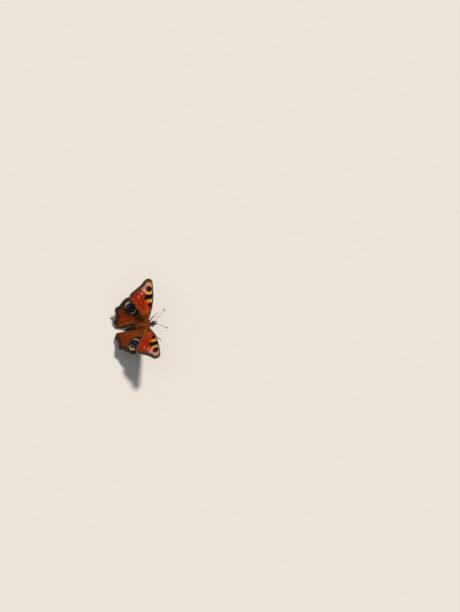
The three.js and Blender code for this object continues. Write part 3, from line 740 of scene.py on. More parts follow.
# The wings' marks, at places on the flat wing (out, ahead), each laid over those before it.
# An oval has its middle, half sizes, turn in degrees, softness of its edge, colour and strength.
# A band has the distance that it follows, its width, softness, colour and strength.
wingLooks = {
    "forewingUpper": {
        "ground": ("rust", "deepRust"),
        "marks": [
            ("oval", (5.5, 3.6), (3.8, 1.9), 34, 0.5, "ember", 0.5),
            ("oval", (0.8, 0.6), (5.6, 4.2), 20, 0.5, "goldBrown", 0.9),
            ("band", "innerDistance", 1.6, 0.9, "brown", 0.85),
            ("band", "veinDistance", 0.1, 0.09, "deepRust", 0.6),
            ("oval", (11.2, 8.8), (1.7, 3.0), 30, 0.3, "ember", 0.9),
            ("oval", (11.9, 9.9), (1.15, 2.2), 30, 0.2, "yellow", 1.0),
            ("oval", (11.9, 11.6), (0.8, 1.2), 30, 0.3, "paleYellow", 0.9),
            ("oval", (9.0, 8.6), (1.5, 1.9), 24, 0.12, "black", 1.0),
            ("oval", (8.9, 7.4), (0.7, 1.0), 20, 0.2, "black", 1.0),
            ("oval", (14.9, 12.3), (2.6, 2.7), 20, 0.08, "black", 1.0),
            ("oval", (14.7, 10.0), (1.9, 2.4), 16, 0.1, "black", 1.0),
            ("oval", (14.3, 7.8), (1.0, 1.5), 10, 0.18, "black", 0.95),
            ("oval", (19.9, 13.0), (4.3, 4.4), 0, 0.05, "yellow", 1.0),
            ("oval", (21.4, 12.2), (3.2, 4.1), -20, 0.12, "rose", 1.0),
            ("oval", (17.3, 12.9), (1.0, 2.2), 6, 0.25, "paleYellow", 0.55),
            ("oval", (22.0, 15.9), (1.9, 1.1), 40, 0.3, "orange", 0.45),
            ("oval", (19.4, 12.8), (2.2, 2.0), 20, 0.12, "maroon", 1.0),
            ("oval", (19.2, 13.9), (1.65, 1.4), 30, 0.16, "black", 1.0),
            ("oval", (21.0, 12.4), (0.35, 0.75), -20, 0.4, "violet", 0.55),
            ("oval", (20.2, 11.0), (0.6, 0.32), -20, 0.4, "violet", 0.45),
            ("oval", (22.4, 14.2), (0.5, 0.45), 0, 0.3, "pearl", 0.9),
            ("oval", (22.4, 12.0), (0.45, 0.45), 0, 0.3, "pearl", 0.9),
            ("oval", (20.8, 9.6), (0.7, 0.6), 0, 0.5, "pearl", 1.0),
            ("oval", (18.4, 6.8), (0.76, 0.68), 0, 0.5, "pearl", 1.0),
            ("oval", (17.2, 3.8), (0.7, 0.62), 0, 0.5, "pearl", 0.9),
            ("band", "outerDistance", 1.9, 0.6, "greyBrown", 1.0),
            ("band", "outerDistance", 0.55, 0.3, "darkBrown", 0.8),
        ],
        "front": {"width": 0.75, "under": "darkBrown", "over": "brown", "scale": 5.0},
    },
    "hindwingUpper": {
        "ground": ("redBrown", "deepBrown"),
        "marks": [
            ("oval", (1.5, -0.5), (7.4, 4.4), -25, 0.5, "goldBrown", 0.95),
            ("band", "innerDistance", 3.6, 1.8, "goldBrown", 0.85),
            ("band", "frontDistance", 3.2, 0.9, "greyBrown", 1.0),
            ("band", "outerDistance", 2.6, 0.5, "slate", 1.0),
            ("band", "veinDistance", 0.1, 0.09, "darkBrown", 0.5),
            ("oval", (12.6, -5.2), (3.6, 1.6), -12, 0.35, "brown", 0.8),
            ("oval", (7.9, -0.4), (1.6, 2.7), 8, 0.2, "black", 0.95),
            # the eye: black, with its pale ring broken in front and behind
            ("oval", (12.8, -1.2), (4.3, 4.0), 0, 0.07, "slate", 1.0),
            ("oval", (12.9, -1.2), (4.3, 3.6), 0, 0.06, "cream", 1.0),
            ("oval", (13.4, 2.8), (5.2, 2.5), 4, 0.16, "slate", 1.0),
            ("oval", (12.2, -4.8), (3.0, 1.35), -8, 0.22, "slate", 0.95),
            ("oval", (12.7, -1.2), (3.4, 3.3), 0, 0.06, "black", 1.0),
            ("oval", (14.5, -1.0), (0.85, 0.8), 0, 0.5, "violet", 1.0),
            ("oval", (11.5, -0.7), (0.8, 0.7), 0, 0.5, "violet", 0.8),
            ("oval", (13.9, 1.0), (0.9, 0.55), 10, 0.5, "violet", 0.9),
            ("oval", (13.8, -3.1), (0.95, 0.55), -20, 0.5, "violet", 0.95),
            ("oval", (11.7, -2.9), (0.7, 0.45), -30, 0.5, "violet", 0.7),
            ("oval", (14.6, -1.0), (0.5, 0.5), 0, 0.9, "lilac", 0.8),
            ("oval", (14.0, -3.1), (0.6, 0.3), -20, 0.9, "lilac", 0.7),
            ("oval", (11.5, -0.7), (0.4, 0.4), 0, 0.9, "lilac", 0.5),
            ("band", "veinDistance", 0.12, 0.14, "black", 0.5),
            ("band", "outerDistance", 0.6, 0.4, "darkBrown", 0.7),
        ],
    },
    "forewingUnder": {
        "ground": ("soot", "slate"),
        "marks": [
            ("band", "outerDistance", 4.4, 1.6, "sootPale", 0.75),
            ("oval", (12.0, 10.6), (1.4, 1.6), 30, 0.5, "ash", 0.7),
            ("oval", (17.8, 14.2), (1.2, 1.4), 30, 0.5, "ash", 0.7),
            ("oval", (15.0, 9.4), (2.2, 3.8), 10, 0.3, "black", 0.8),
            ("band", "outerDistance", 1.0, 0.5, "soot", 0.8),
        ],
        "front": {"width": 0.8, "under": "darkBrown", "over": "ash", "scale": 4.0},
        "striae": 0.75,
    },
    "hindwingUnder": {
        "ground": ("soot", "slate"),
        "marks": [
            ("band", "outerDistance", 5.5, 1.8, "sootPale", 0.65),
            ("oval", (6.0, -2.0), (6.5, 5.0), -20, 0.5, "black", 0.5),
            ("oval", (7.9, -1.3), (0.26, 0.26), 0, 0.9, "frost", 0.7),
            ("band", "outerDistance", 0.9, 0.5, "soot", 0.8),
        ],
        "striae": 0.8,
    },
}


def layMark(tree, colour, mark, ragged, drift):
    form, at, size, *turn, soft, tint, strength = mark
    if form == "band":
        reach, rim = math2(tree, "ADD", attribute(tree, at), drift), size
    else:
        across = addNode(tree, "ShaderNodeMapping", {
            "Vector": ragged, "Location": (*at, 0), "Rotation": (0, 0, math.radians(turn[0])),
            "Scale": (*size, 1),
        }, vector_type="TEXTURE")
        reach, rim = lengthOf(tree, across), 1
    return mixed(tree, ranged(tree, reach, rim + soft, rim - soft, 0, strength), colour, tinted(tint))


def layFront(tree, colour, front, place):
    # the forewing's front edge: dark, crossed by fine pale strokes that begin a little way from the root
    width = front["width"]
    strokes = addNode(tree, "ShaderNodeTexWave", {
        "Vector": place, "Scale": front["scale"], "Distortion": 2.0, "Detail": 2.0,
    }, bands_direction="DIAGONAL")
    fleck = ranged(tree, strokes.outputs["Fac"], 0.5, 0.8, 0, 0.7)
    edging = mixed(tree, fleck, tinted(front["under"]), tinted(front["over"]))
    mask = math2(tree, "MULTIPLY", ranged(tree, attribute(tree, "frontDistance"), width, width * 0.75),
                 ranged(tree, lengthOf(tree, place), 2.5, 5.5))
    return mixed(tree, mask, colour, edging)


def wingMaterial(name, look):
    material, tree, shader = newMaterial(name)
    place = attribute(tree, "wingPlace", "Vector")
    wander = noise(tree, place, 1.9, 3.0)
    centred = vectorMath(tree, "SUBTRACT", wander.outputs["Color"], (0.5, 0.5, 0.5))
    ragged = vectorMath(tree, "ADD", place, vectorMath(tree, "MULTIPLY", centred, (0.9, 0.9, 0)))
    drift = ranged(tree, wander, 0.3, 0.7, -0.35, 0.35)

    first, second = (tinted(tint) for tint in look["ground"])
    colour = mixed(tree, ranged(tree, noise(tree, place, 0.45, 5.0), 0.35, 0.7), first, second)
    if "striae" in look:
        wave = addNode(tree, "ShaderNodeTexWave", {
            "Vector": ragged, "Scale": 0.42, "Distortion": 5.5, "Detail": 3.0, "Detail Scale": 1.3,
        }, bands_direction="X")
        lines = math2(tree, "MULTIPLY", ranged(tree, wave.outputs["Fac"], 0.45, 0.75), look["striae"])
        colour = mixed(tree, lines, colour, tinted("black"))
    for mark in look["marks"]:
        colour = layMark(tree, colour, mark, ragged, drift)
    if "front" in look:
        colour = layFront(tree, colour, look["front"], place)

    # scales differ a little from one to the next, and the fringe is pale and dark by turns
    chequer = ranged(tree, noise(tree, place, 0.55, 0.0), 0.45, 0.55)
    hem = mixed(tree, chequer, tinted("darkBrown"), tinted("ash"))
    colour = mixed(tree, attribute(tree, "fringe"), colour, hem)
    shade = ranged(tree, attribute(tree, "tuftShade"), 0, 1, 0.82, 1.18)
    varied = addNode(tree, "ShaderNodeHueSaturation", {"Color": colour, "Value": shade})
    fill(tree, shader, {"Base Color": varied, "Roughness": 0.6, "Specular IOR Level": 0.14})
    return material


# Wing scales: distance between rows and within a row, and each scale's width, length and dome
scaleRows = {
    "Upper": {"row": 0.2, "column": 0.14, "size": (0.19, 0.4, 0.3), "lift": 0.16},
    "Under": {"row": 0.27, "column": 0.19, "size": (0.26, 0.52, 0.3), "lift": 0.14},
    "fringe": {"step": 0.055, "size": (0.1, 0.85, 0.3), "layers": 2, "inset": 0.12, "layerStep": 0.2},
    "sunk": 0.012,
    "seed": 11,
}


def scalePlaces(shape, rows, rng):
    # staggered rows on arcs round the hub, as roof tiles lie
    hub = np.array(shape["hub"])
    reach = np.linalg.norm(shape["edge"] - hub, axis=1).max()
    places = []
    for k, radius in enumerate(np.arange(0.5, reach, rows["row"])):
        turn = np.arange(-math.pi, math.pi, rows["column"] / radius) + (k % 2) * rows["column"] / radius / 2
        shake = rng.uniform(-0.25, 0.25, (2, len(turn)))
        r = radius + shake[0] * rows["row"]
        turn = turn + shake[1] * rows["column"] / radius
        arc = hub + np.column_stack([r * np.cos(turn), r * np.sin(turn)])
        places.append(arc[insideLoop(shape["edge"], arc)])
    places = np.vstack(places)
    return places, unit(places - hub)


def fringePlaces(shape, rng):
    fringe = scaleRows["fringe"]
    middle = shape["edge"].mean(0)
    places, lies = [], []
    for line in (shape["outerEdge"], shape["innerEdge"]):
        run = unit(np.gradient(line, axis=0))
        outward = np.column_stack([run[:, 1], -run[:, 0]])
        if ((line - middle) * outward).sum() < 0:
            outward = -outward
        along = lengthAlong(line)
        stops = np.arange(0, along[-1], fringe["step"])
        for layer in range(fringe["layers"]):
            at = stops + rng.uniform(-0.03, 0.03, len(stops))
            spot = pick(line, along, at)
            away = unit(pick(outward, along, at))
            away = unit(away + 0.15 * unit(spot - np.array(shape["hub"])))
            places.append(spot - away * (fringe["inset"] + fringe["layerStep"] * layer))
            lies.append(away)
    return np.vstack(places), np.vstack(lies)


def siteMesh(name, shape, way, face, sites):
    # loose points on the posed wing that carry all that the coat tree and the marks read; face is 1 above,
    # -1 beneath, or 0 for the rim, where the places are spread over its thickness
    places, lie, sizes, facts, fringe = sites
    if face:
        height = wingHeight(places, facts, face)
    else:
        top, bottom = (wingHeight(places, facts, side) for side in (1, -1))
        height = bottom + (top - bottom) * np.mod(0.618 * np.arange(len(places)), 1)

    def posed(aside=0, rise=0):
        return onWing(shape, way, *(places + aside).T, height + rise)

    roots, skin = posed(rise=-face * scaleRows["sunk"]), posed()
    across = np.column_stack([-lie[:, 1], lie[:, 0]])
    forward, sideways = (posed(0.03 * step) - skin for step in (lie, across))
    if face:
        normal = unit(np.cross(forward, sideways))
        normal *= np.sign((normal * (posed(rise=0.1) - skin)).sum(1) * face)[:, None]
    else:
        normal = unit(sideways)
    forward = unit(forward)
    mesh = newMesh(name, roots)
    setAttributes(mesh, "FLOAT_VECTOR", {
        "siteNormal": normal, "lie": forward,
        "tuftSize": sizes * floorRoom(roots, forward, sizes[:, 1])[:, None],
        "wingPlace": withZero(places), "skinPlace": withZero(unwrapPlace(shape, places)),
    })
    setAttributes(mesh, "FLOAT", {"fringe": fringe, **{fact: facts[fact] for fact in distances}})
    return mesh


def prepareWing(shape):
    traceWing(shape)
    shape["flat"] = flatWing(shape)
    shape["flatFacts"] = wingFacts(shape, shape["flat"][0])
    rng = np.random.default_rng(scaleRows["seed"])
    for face in faceSides:
        places, lie = scalePlaces(shape, scaleRows[face], rng)
        sizes = np.tile(scaleRows[face]["size"], (len(places), 1))
        fringe = np.zeros(len(places))
        if face == "Upper":
            more, moreLie = fringePlaces(shape, rng)
            places, lie = np.vstack([places, more]), np.vstack([lie, moreLie])
            sizes = np.vstack([sizes, np.tile(scaleRows["fringe"]["size"], (len(more), 1))])
            fringe = np.append(fringe, np.ones(len(more)))
        shape[face] = (places, lie, sizes, wingFacts(shape, places), fringe)


def makeWings():
    tile = scaleTile("wingScale")
    for kind, shape in wings.items():
        prepareWing(shape)
        materials = [wingMaterial(kind + face, wingLooks[kind + face]) for face in faceSides]
        for way in sides:
            skin = wingSkin(kind, way, materials)
            settle(skin, kind, f"{kind}_{way.lower()}")
            for (face, side), material in zip(faceSides.items(), materials):
                name = f"{kind}{way}{face}Scales"
                mesh = siteMesh(name, shape, way, side, shape[face])
                growCoat(mesh, name, kind, {
                    "Tuft": tile, "Lift": scaleRows[face]["lift"], "Lift Varies": 0.06, "Turn Varies": 0.14,
                    "Size Varies": 0.12, "Seed": scaleRows["seed"], "Material": material,
                })
        print(f"{kind} pair")


makeWings()


# Body
thorax = {"length": 8.2, "halfWidth": 2.65, "halfHeight": 2.75, "hump": 0.25, "coat": 0.5}
head = {"length": 2.9, "halfWidth": 1.3, "x": 5.85, "z": 0.35, "coat": 0.22}
abdomen = {"length": 12.6, "halfWidth": 1.8, "droop": 1.3, "rings": 9, "step": 0.09, "coat": 0.24}
palps = {"length": 2.7, "radius": 0.33, "out": 0.82, "root": (6.55, -0.45), "belly": -0.22}
neck = {"line": [(3.2, 0, 0.1), (4.2, 0, 0.15), (5.4, 0, 0.3)], "radii": [1.2, 0.85, 0.9]}
waist = {
    "line": [(-2.4, 0, 0), (-3.7, 0, -0.15), (-5.0, 0, -0.3)],
    "radii": [(1.85, 1.6), (1.85, 1.35), (1.55, 1.4)],
}
tegula = {  # the flap over each forewing's root
    "line": [(3.5, 1.5, 1.5), (2.9, 1.95, 1.75), (1.9, 2.2, 1.85), (0.9, 2.15, 1.75)],
    "radii": [(0.25, 0.2), (0.5, 0.42), (0.52, 0.42), (0.22, 0.2)],
}
foreleg = {
    "line": [(2.6, 0.85, -2.35), (3.5, 1.15, -3.0), (4.6, 1.1, -2.75), (5.2, 0.95, -2.2)],
    "radius": 0.3,
}
# The left walking legs: the coxa on the body's axes, the other places with their height above the floor
legs = {
    "mid": {
        "coxa": (0.9, 1.25, -2.1), "knee": (4.3, 5.0, 6.7), "ankle": (5.9, 7.0, 1.6),
        "heel": (7.0, 8.2, 0.3), "toe": (8.6, 9.6, 0.2),
    },
    "hind": {
        "coxa": (-1.9, 1.15, -2.0), "knee": (-5.0, 4.9, 5.7), "ankle": (-8.0, 6.9, 1.5),
        "heel": (-9.6, 7.7, 0.3), "toe": (-11.9, 8.7, 0.2),
    },
}
legWidths = {"coxa": 0.62, "femur": 0.33, "tibia": 0.25, "tarsus": 0.19}
bodySkin = {"voxel": 0.085, "smoothing": 3}


def fromFloor(point, side):
    x, y, z = point
    return np.array(bodyTurn.transposed() @ Vector((x, side * y, z - stance["height"])))


def tube(points, radii, corners=14, up=(0, 0, 1)):
    # a closed skin round a line, with one radius or a (wide, high) pair for each point
    points = np.asarray(points, float)
    radii = np.array([r if np.ndim(r) else (r, r) for r in radii], float)
    ahead = unit(np.gradient(points, axis=0))
    wide = unit(np.cross(np.broadcast_to(up, points.shape), ahead))
    high = np.cross(ahead, wide)
    turns = 2 * math.pi * (np.arange(corners) + 0.5) / corners
    rings = points[:, None] + (radii[:, 0:1] * np.cos(turns))[..., None] * wide[:, None]
    rings = rings + (radii[:, 1:2] * np.sin(turns))[..., None] * high[:, None]
    faces = []
    for k in range(len(points) - 1):
        for i in range(corners):
            a, b = k * corners + i, k * corners + (i + 1) % corners
            faces.append((a, b, b + corners, a + corners))
    last = (len(points) - 1) * corners
    faces += [tuple(range(corners))[::-1], tuple(range(last, last + corners))]
    return rings.reshape(-1, 3), faces


def joined(parts):
    points, faces, count = [], [], 0
    for more, moreFaces in parts:
        points.append(more)
        faces += [tuple(c + count for c in face) for face in moreFaces]
        count += len(more)
    return np.vstack(points), faces


def eggTube(x, z, half, wide, high, power=2.0, root=2.0, hump=0.0, tilt=0.0):
    # an egg along the body's axis
    s = -np.cos(np.linspace(0.12, math.pi - 0.12, 26))
    fullness = (1 - np.abs(s) ** power) ** (1 / root)
    points = np.column_stack([x + s * half, 0 * s, z + hump * (1 - s * s) + tilt * s])
    return tube(points, np.column_stack([wide * fullness, high * fullness]), 32)


def abdomenMiddle(t):
    return np.column_stack([
        -thorax["length"] / 2 + 0.25 - t * abdomen["length"], 0 * t, -0.25 - abdomen["droop"] * t * t])


def abdomenRadius(t):
    t = np.clip(t, 0, 0.985)
    return abdomen["halfWidth"] * np.sin(math.pi * (0.2 + 0.8 * t)) ** 0.42 * (1 - 0.28 * t * t)


def legLine(leg, side):
    # from the body to the toe, with the name of each stretch
    x, y, z = leg["coxa"]
    top, hip = np.array((x, side * (y - 0.2), z + 0.9)), np.array((x - 0.35, side * (y + 0.45), z - 1.2))
    knee, ankle, heel, toe = (fromFloor(leg[name], side) for name in ("knee", "ankle", "heel", "toe"))
    foot = spline([ankle, heel, toe], 0.07)[0]
    return {
        "coxa": np.linspace(top, hip, 8), "femur": np.linspace(hip, knee, 16),
        "tibia": np.linspace(knee, ankle, 14), "tarsus": foot,
    }


def legWidth(name, t):
    if name == "coxa":
        return legWidths[name] * (1 - 0.45 * t)
    if name == "femur":
        return legWidths[name] * (0.8 + 0.35 * np.sin(math.pi * np.minimum(1, t + 0.15)) - 0.25 * t)
    if name == "tibia":
        return legWidths[name] * (0.85 + 0.2 * np.sin(math.pi * t))
    joint = np.mod(5 * t * 0.999, 1)  # five short joints, each wider at its end
    return legWidths[name] * (0.78 + 0.3 * joint - 0.25 * smooth(0.85, 1.0, joint))


def palpLine(side):
    x, z = palps["root"]
    t = np.linspace(0, 1, 14)
    out = palps["out"] * side
    return np.column_stack([
        x + 0.88 * palps["length"] * t, out - 0.1 * side * t,
        z + 0.4 * palps["length"] * t + palps["belly"] * np.sin(math.pi * t),
    ])


def palpWidth(t):
    girth = palps["radius"] * (0.55 + 0.45 * np.sin(math.pi * np.minimum(1, 0.15 + t)) - 0.2 * t)
    return np.column_stack([0.68 * girth, 1.15 * girth])


def trunkParts():
    coat = thorax["coat"]
    t = np.linspace(0.005, 0.998, 180)
    ringPlace = np.mod(t * abdomen["rings"], 1)
    rise = abdomen["step"] * (smooth(0, 0.7, ringPlace) - smooth(0.86, 1, ringPlace))
    radius = abdomenRadius(t) - abdomen["coat"] + rise
    radius = radius * np.sqrt(np.clip((1.004 - t) / 0.06, 0, 1)) ** 0.7
    return [
        eggTube(0, 0, thorax["length"] / 2 - coat * 0.6, thorax["halfWidth"] - coat,
                thorax["halfHeight"] - coat, 2.6, 2.2, thorax["hump"]),
        eggTube(head["x"], head["z"], head["length"] / 2 - head["coat"], head["halfWidth"] - head["coat"],
                head["halfWidth"] + 0.15 - head["coat"], tilt=-0.12),
        tube(neck["line"], neck["radii"]),
        tube(waist["line"], waist["radii"]),
        tube(abdomenMiddle(t), np.column_stack([radius, 1.04 * radius]), 32),
    ]


def sideParts(side):
    front = spline(mirrored(foreleg["line"], side), 0.1)[0]
    share = np.linspace(0, 1, len(front))
    girth = foreleg["radius"] * (0.7 + 0.4 * np.sin(math.pi * share)) * (1 - 0.6 * share ** 3)
    parts = [
        tube(mirrored(tegula["line"], side), tegula["radii"], 12),
        tube(palpLine(side), palpWidth(np.linspace(0, 1, 14)), 12),
        tube(front, girth, 12),
    ]
    for leg in legs.values():
        for name, line in legLine(leg, side).items():
            up = (0.3, 0, 1) if name == "coxa" else (0, 0, 1)
            parts.append(tube(line, legWidth(name, np.linspace(0, 1, len(line))), 12, up))
    return parts


def makeBodySkin():
    points, faces = joined(trunkParts() + sideParts(1) + sideParts(-1))
    obj = newObject("bodySkin", newMesh("bodySkin", points, faces))
    remesh = obj.modifiers.new("remesh", "REMESH")
    remesh.mode = "VOXEL"
    remesh.voxel_size = bodySkin["voxel"]
    remesh.use_smooth_shade = True
    relax = obj.modifiers.new("relax", "SMOOTH")
    relax.factor = 0.5
    relax.iterations = bodySkin["smoothing"]
    return keepShape(obj)


def unwrap(obj):
    obj.data.uv_layers.new(name="OFBake")
    bpy.context.view_layer.objects.active = obj
    obj.select_set(True)
    bpy.ops.object.mode_set(mode="EDIT")
    bpy.ops.mesh.select_all(action="SELECT")
    bpy.ops.uv.smart_project(angle_limit=math.radians(66), island_margin=0.002)
    bpy.ops.object.mode_set(mode="OBJECT")
    obj.select_set(False)


def blendTints(share, first, second):
    a, b = (np.array(tinted(name)) for name in (first, second))
    return a + np.clip(share, 0, 1)[:, None] * (b - a)


def laid(share, under, over):
    # one colour, direction or length over another
    return under + (share if np.ndim(under) == 1 else share[:, None]) * (over - under)


coatZones = {  # along the body: where each kind of hair begins, and where it is full
    "tail": (-3.6, -4.6), "tailDark": (-5.0, -8.5), "tailLong": (-7.5, -4.5),
    "spreadBack": (-8.5, -6.0), "spreadFront": (-2.9, -3.9), "collar": (2.4, 3.8),
    "collarShort": (2.5, 4.2), "head": (4.1, 4.7), "face": (5.6, 6.6), "faceShort": (6.2, 7.0),
    "palp": (6.9, 7.2),
}


def within(zone, x):
    return smooth(*coatZones[zone], x)


def trunkCoat(p):
    # colour, lie and length of the hair on thorax, abdomen and head, and which of them each place is on
    x, y, z = p.T
    start = abdomenMiddle(np.zeros(1))[0, 0]
    t = np.clip((start - x) / abdomen["length"], 0, 1)
    middle = np.where(x < start, abdomenMiddle(t)[:, 2], 0.1)
    upness = np.clip((z - middle) / np.maximum(np.hypot(y, z - middle), 0.2), -1, 1)
    onTail, onHead = within("tail", x), within("head", x)

    colour = blendTints(smooth(-0.1, 0.8, upness), "breast", "back")
    colour = laid(within("collar", x), colour, blendTints(smooth(-0.4, 0.6, upness), "breast", "collar"))
    tail = laid(within("tailDark", x), blendTints(smooth(0.0, 0.8, upness), "abdomenUnder", "abdomenBase"),
                blendTints(smooth(-0.3, 0.5, upness), "abdomenUnder", "abdomenTop"))
    colour = laid(onTail, colour, tail)
    colour = laid(onHead, colour, blendTints(smooth(-0.2, 0.5, upness), "face", "crown"))

    # the hair lies back, spreads over the gap beside the abdomen's base, and leans forward on the face
    one = np.ones(len(p))
    spread = within("spreadBack", x) * within("spreadFront", x)
    spread = spread * smooth(0.5, 1.1, np.abs(y)) * smooth(-0.5, 0.1, upness)
    aside = 0.25 * y * (x < 4.5) + 0.8 * np.sign(y) * spread
    lie = np.column_stack([-one, aside, -0.12 * one + 0.1 * spread])
    lie = laid(within("face", x), lie, np.column_stack([1.6 * one, 0.3 * y, -0.4 * one]))
    length = 1.75 - 0.55 * smooth(0.2, -0.6, upness) - 0.5 * within("collarShort", x)
    length = laid(onTail, length, 0.62 + 0.75 * within("tailLong", x) + 0.35 * spread)
    length = laid(onHead, length, 0.72 - 0.2 * within("faceShort", x))
    return colour, lie, length, onTail, onHead


limbCoats = {  # colour, hair length, and how far from the limb's skin the coat has faded and is still full
    "foreleg": ("foreleg", 0.5, 0.22, 0.1),
    "coxa": ("breast", 0.6, 0.25, 0.08),
    "femur": ("femur", 0.42, 0.22, 0.1),
    "tibia": ("shin", 0.32, 0.22, 0.1),
    "tarsus": ("shin", 0.2, 0.22, 0.1),
}


def limbLines(side):
    # the kind and the line of each stretch of limb
    lines = [stretch for leg in legs.values() for stretch in legLine(leg, side).items()]
    return lines + [("foreleg", spline(mirrored(foreleg["line"], side), 0.2)[0])]


def paintBody(mesh):
    # writes how the coat lies, how long it is, where each coat grows, and its colour, at every vertex
    count = len(mesh.vertices)
    p = np.empty(count * 3)
    mesh.vertices.foreach_get("co", p)
    p = p.reshape(-1, 3)
    x, z = p[:, 0], p[:, 2]
    colour, lie, length, onTail, onHead = trunkCoat(p)
    onLimb = np.zeros(count)
    bare = np.zeros(count, bool)
    for side in sides.values():
        line = palpLine(side)
        near = smooth(0.75, 0.45, nearestOn(line, p)[0]) * within("palp", x) * (z < 1.2)
        rise = smooth(-0.15, 0.2, z - np.interp(x, line[:, 0], line[:, 2]))
        colour = laid(near, colour, blendTints(rise, "palpUnder", "palpTop"))
        lie = laid(near, lie, np.array([0.9, 0, 0.42]))
        length = laid(near, length, 0.42)
        for name, line in limbLines(side):
            tint, reach, far, close = limbCoats[name]
            gap, share = nearestOn(line, p)
            width = foreleg["radius"] if name == "foreleg" else legWidth(name, share)
            near = smooth(width + far, width + close, gap)
            if name == "coxa":
                near = near * smooth(-2.1, -2.6, z)
            colour = laid(near, colour, np.array(tinted(tint)))
            lie = laid(near, lie, unit(line[-1] - line[0]))
            length = laid(near, length, reach)
            onLimb = np.maximum(onLimb, near)
        fromEye = (p - mirrored(eyes["at"], side)) / np.array(eyes["radii"])
        bare |= np.linalg.norm(fromEye, axis=1) <= 1.02
    trunk = onLimb < 0.5
    setAttributes(mesh, "FLOAT", {
        "thoraxCover": (1 - onTail) * (1 - onHead) * trunk, "abdomenCover": onTail * trunk,
        "headCover": onHead * trunk * ~bare, "legCover": ~trunk * (floorHeight(p) > 0.18),
        "tuftShade": np.full(count, 0.5),
    })
    setAttributes(mesh, "FLOAT_COLOR", {"coatColour": colour})
    setAttributes(mesh, "FLOAT_VECTOR", {"lie": unit(lie), "tuftSize": sameEachWay(length)})
    corners = np.zeros(len(mesh.loops) * 2, np.float32)
    mesh.uv_layers["OFBake"].data.foreach_get("uv", corners)
    setAttributes(mesh, "FLOAT_VECTOR", {"skinPlace": withZero(corners.reshape(-1, 2))}, "CORNER")


# light scales the coat's brightness; the skin's lower value is painted shade
def coatMaterial(name, light, rough):
    material, tree, shader = newMaterial(name)
    place = objectPlace(tree)
    drawn = addNode(tree, "ShaderNodeMapping", {"Vector": place, "Scale": (0.3, 1, 1)})  # along the body
    streaks = ranged(tree, noise(tree, drawn, 1100.0, 3.0), 0.3, 0.7, 0.55 * light, 1.4 * light)
    shade = attribute(tree, "tuftShade")
    varied = addNode(tree, "ShaderNodeHueSaturation", {
        "Color": attribute(tree, "coatColour", "Color"), "Hue": ranged(tree, shade, 0, 1, 0.49, 0.51),
        "Value": math2(tree, "MULTIPLY", ranged(tree, shade, 0, 1, 0.62, 1.38), streaks),
    })
    bump = addNode(tree, "ShaderNodeBump", {
        "Height": noise(tree, place, 9000.0, 2.0), "Strength": 0.25, "Distance": 0.00003})
    fill(tree, shader, {"Base Color": varied, "Roughness": rough, "Specular IOR Level": 0.3, "Normal": bump})
    return material


tuftLooks = {
    "long": {"strands": 3, "thick": 0.014, "gather": 0.05, "splay": 0.2, "bow": 0.1, "seed": 3},
    "short": {"strands": 1, "thick": 0.05, "gather": 0, "splay": 0.1, "bow": 0.05, "seed": 4},
}
bodyCoats = {  # the spacing is the least distance between tufts
    "thorax": {"slot": "fur", "spacing": 0.125, "density": 90.0, "lift": 0.27, "tuft": "long"},
    "abdomen": {"slot": "abdomen_fur", "spacing": 0.125, "density": 90.0, "lift": 0.24, "tuft": "long"},
    "head": {"slot": "head_fur", "spacing": 0.075, "density": 260.0, "lift": 0.48, "tuft": "long"},
    "leg": {"slot": "leg", "spacing": 0.12, "density": 90.0, "lift": 0.3, "tuft": "short"},
}
tufts = {name: hairTuft(name + "Tuft", **look) for name, look in tuftLooks.items()}
furMaterial = coatMaterial("bodyFur", 1.0, 0.55)


def makeBody():
    skin = makeBodySkin()
    unwrap(skin)
    paintBody(skin.data)
    print("body skin")
    for k, (region, coat) in enumerate(bodyCoats.items()):
        growCoat(skin.data.copy(), region + "Hair", coat["slot"], {
            "Spread": True, "Cover": region + "Cover", "Spacing": coat["spacing"],
            "Density": coat["density"], "Tuft": tufts[coat["tuft"]], "Lift": coat["lift"],
            "Lift Varies": 0.16, "Turn Varies": 0.28, "Size Varies": 0.22, "Seed": 20 + k,
            "Material": furMaterial,
        })
    # the skin between the tufts is half as bright as the hair: painted shade in the gaps under the coat
    skin.data.materials.append(coatMaterial("bodyUnderfur", 0.5, 0.7))
    limbs = [f"{part}_{place}_{way}" for part in ("coxa", "femur", "tibia", "tarsus")
             for place in legs for way in ("left", "right")]
    settle(skin, "fur", "thorax", "abdomen", "head", "palp_left", "palp_right", "foreleg_left",
           "foreleg_right", *limbs)


makeBody()


# Long hair on the roots of the wings and on the inner part of the hindwings. A brim is a row of hair that
# closes a gap: behind the forewing's root, and from the hindwing's fold to the abdomen. The rim is the
# front edge at the root.
wingHair = {
    "forewing": {
        "tries": 9000, "reach": 6.5, "inner": 0.9, "length": (1.0, 1.9),
        "brim": {"from": (0, -1.1), "to": (7.5, -1.05), "lie": (0.5, -0.86), "count": 200},
        "rim": {"count": 190, "length": (1.3, 0.7)},
    },
    "hindwing": {
        "tries": 10400, "reach": 8.0, "inner": 3.0, "length": (1.2, 2.1),
        "brim": {"from": (0.3, -0.6), "to": (6.6, -14.6), "lie": (-0.45, -0.88), "count": 420},
        "rim": {"count": 150, "length": (1.2, 0.7)},
    },
    "brimLength": (1.8, 1.2),
    "tints": ("back", "shade"),
    "darkShare": 0.7,     # how far single hairs may turn to the darker tint
    "brimPaintedShade": 0.8,      # painted shade: how far the brim turns to the darker tint, for the shadow in the gap beside the body
    "lift": 0.1,
    "seed": 31,
}


def hairPlaces(shape, places, lie, length):
    return places, lie, sameEachWay(length), wingFacts(shape, places), np.zeros(len(places))


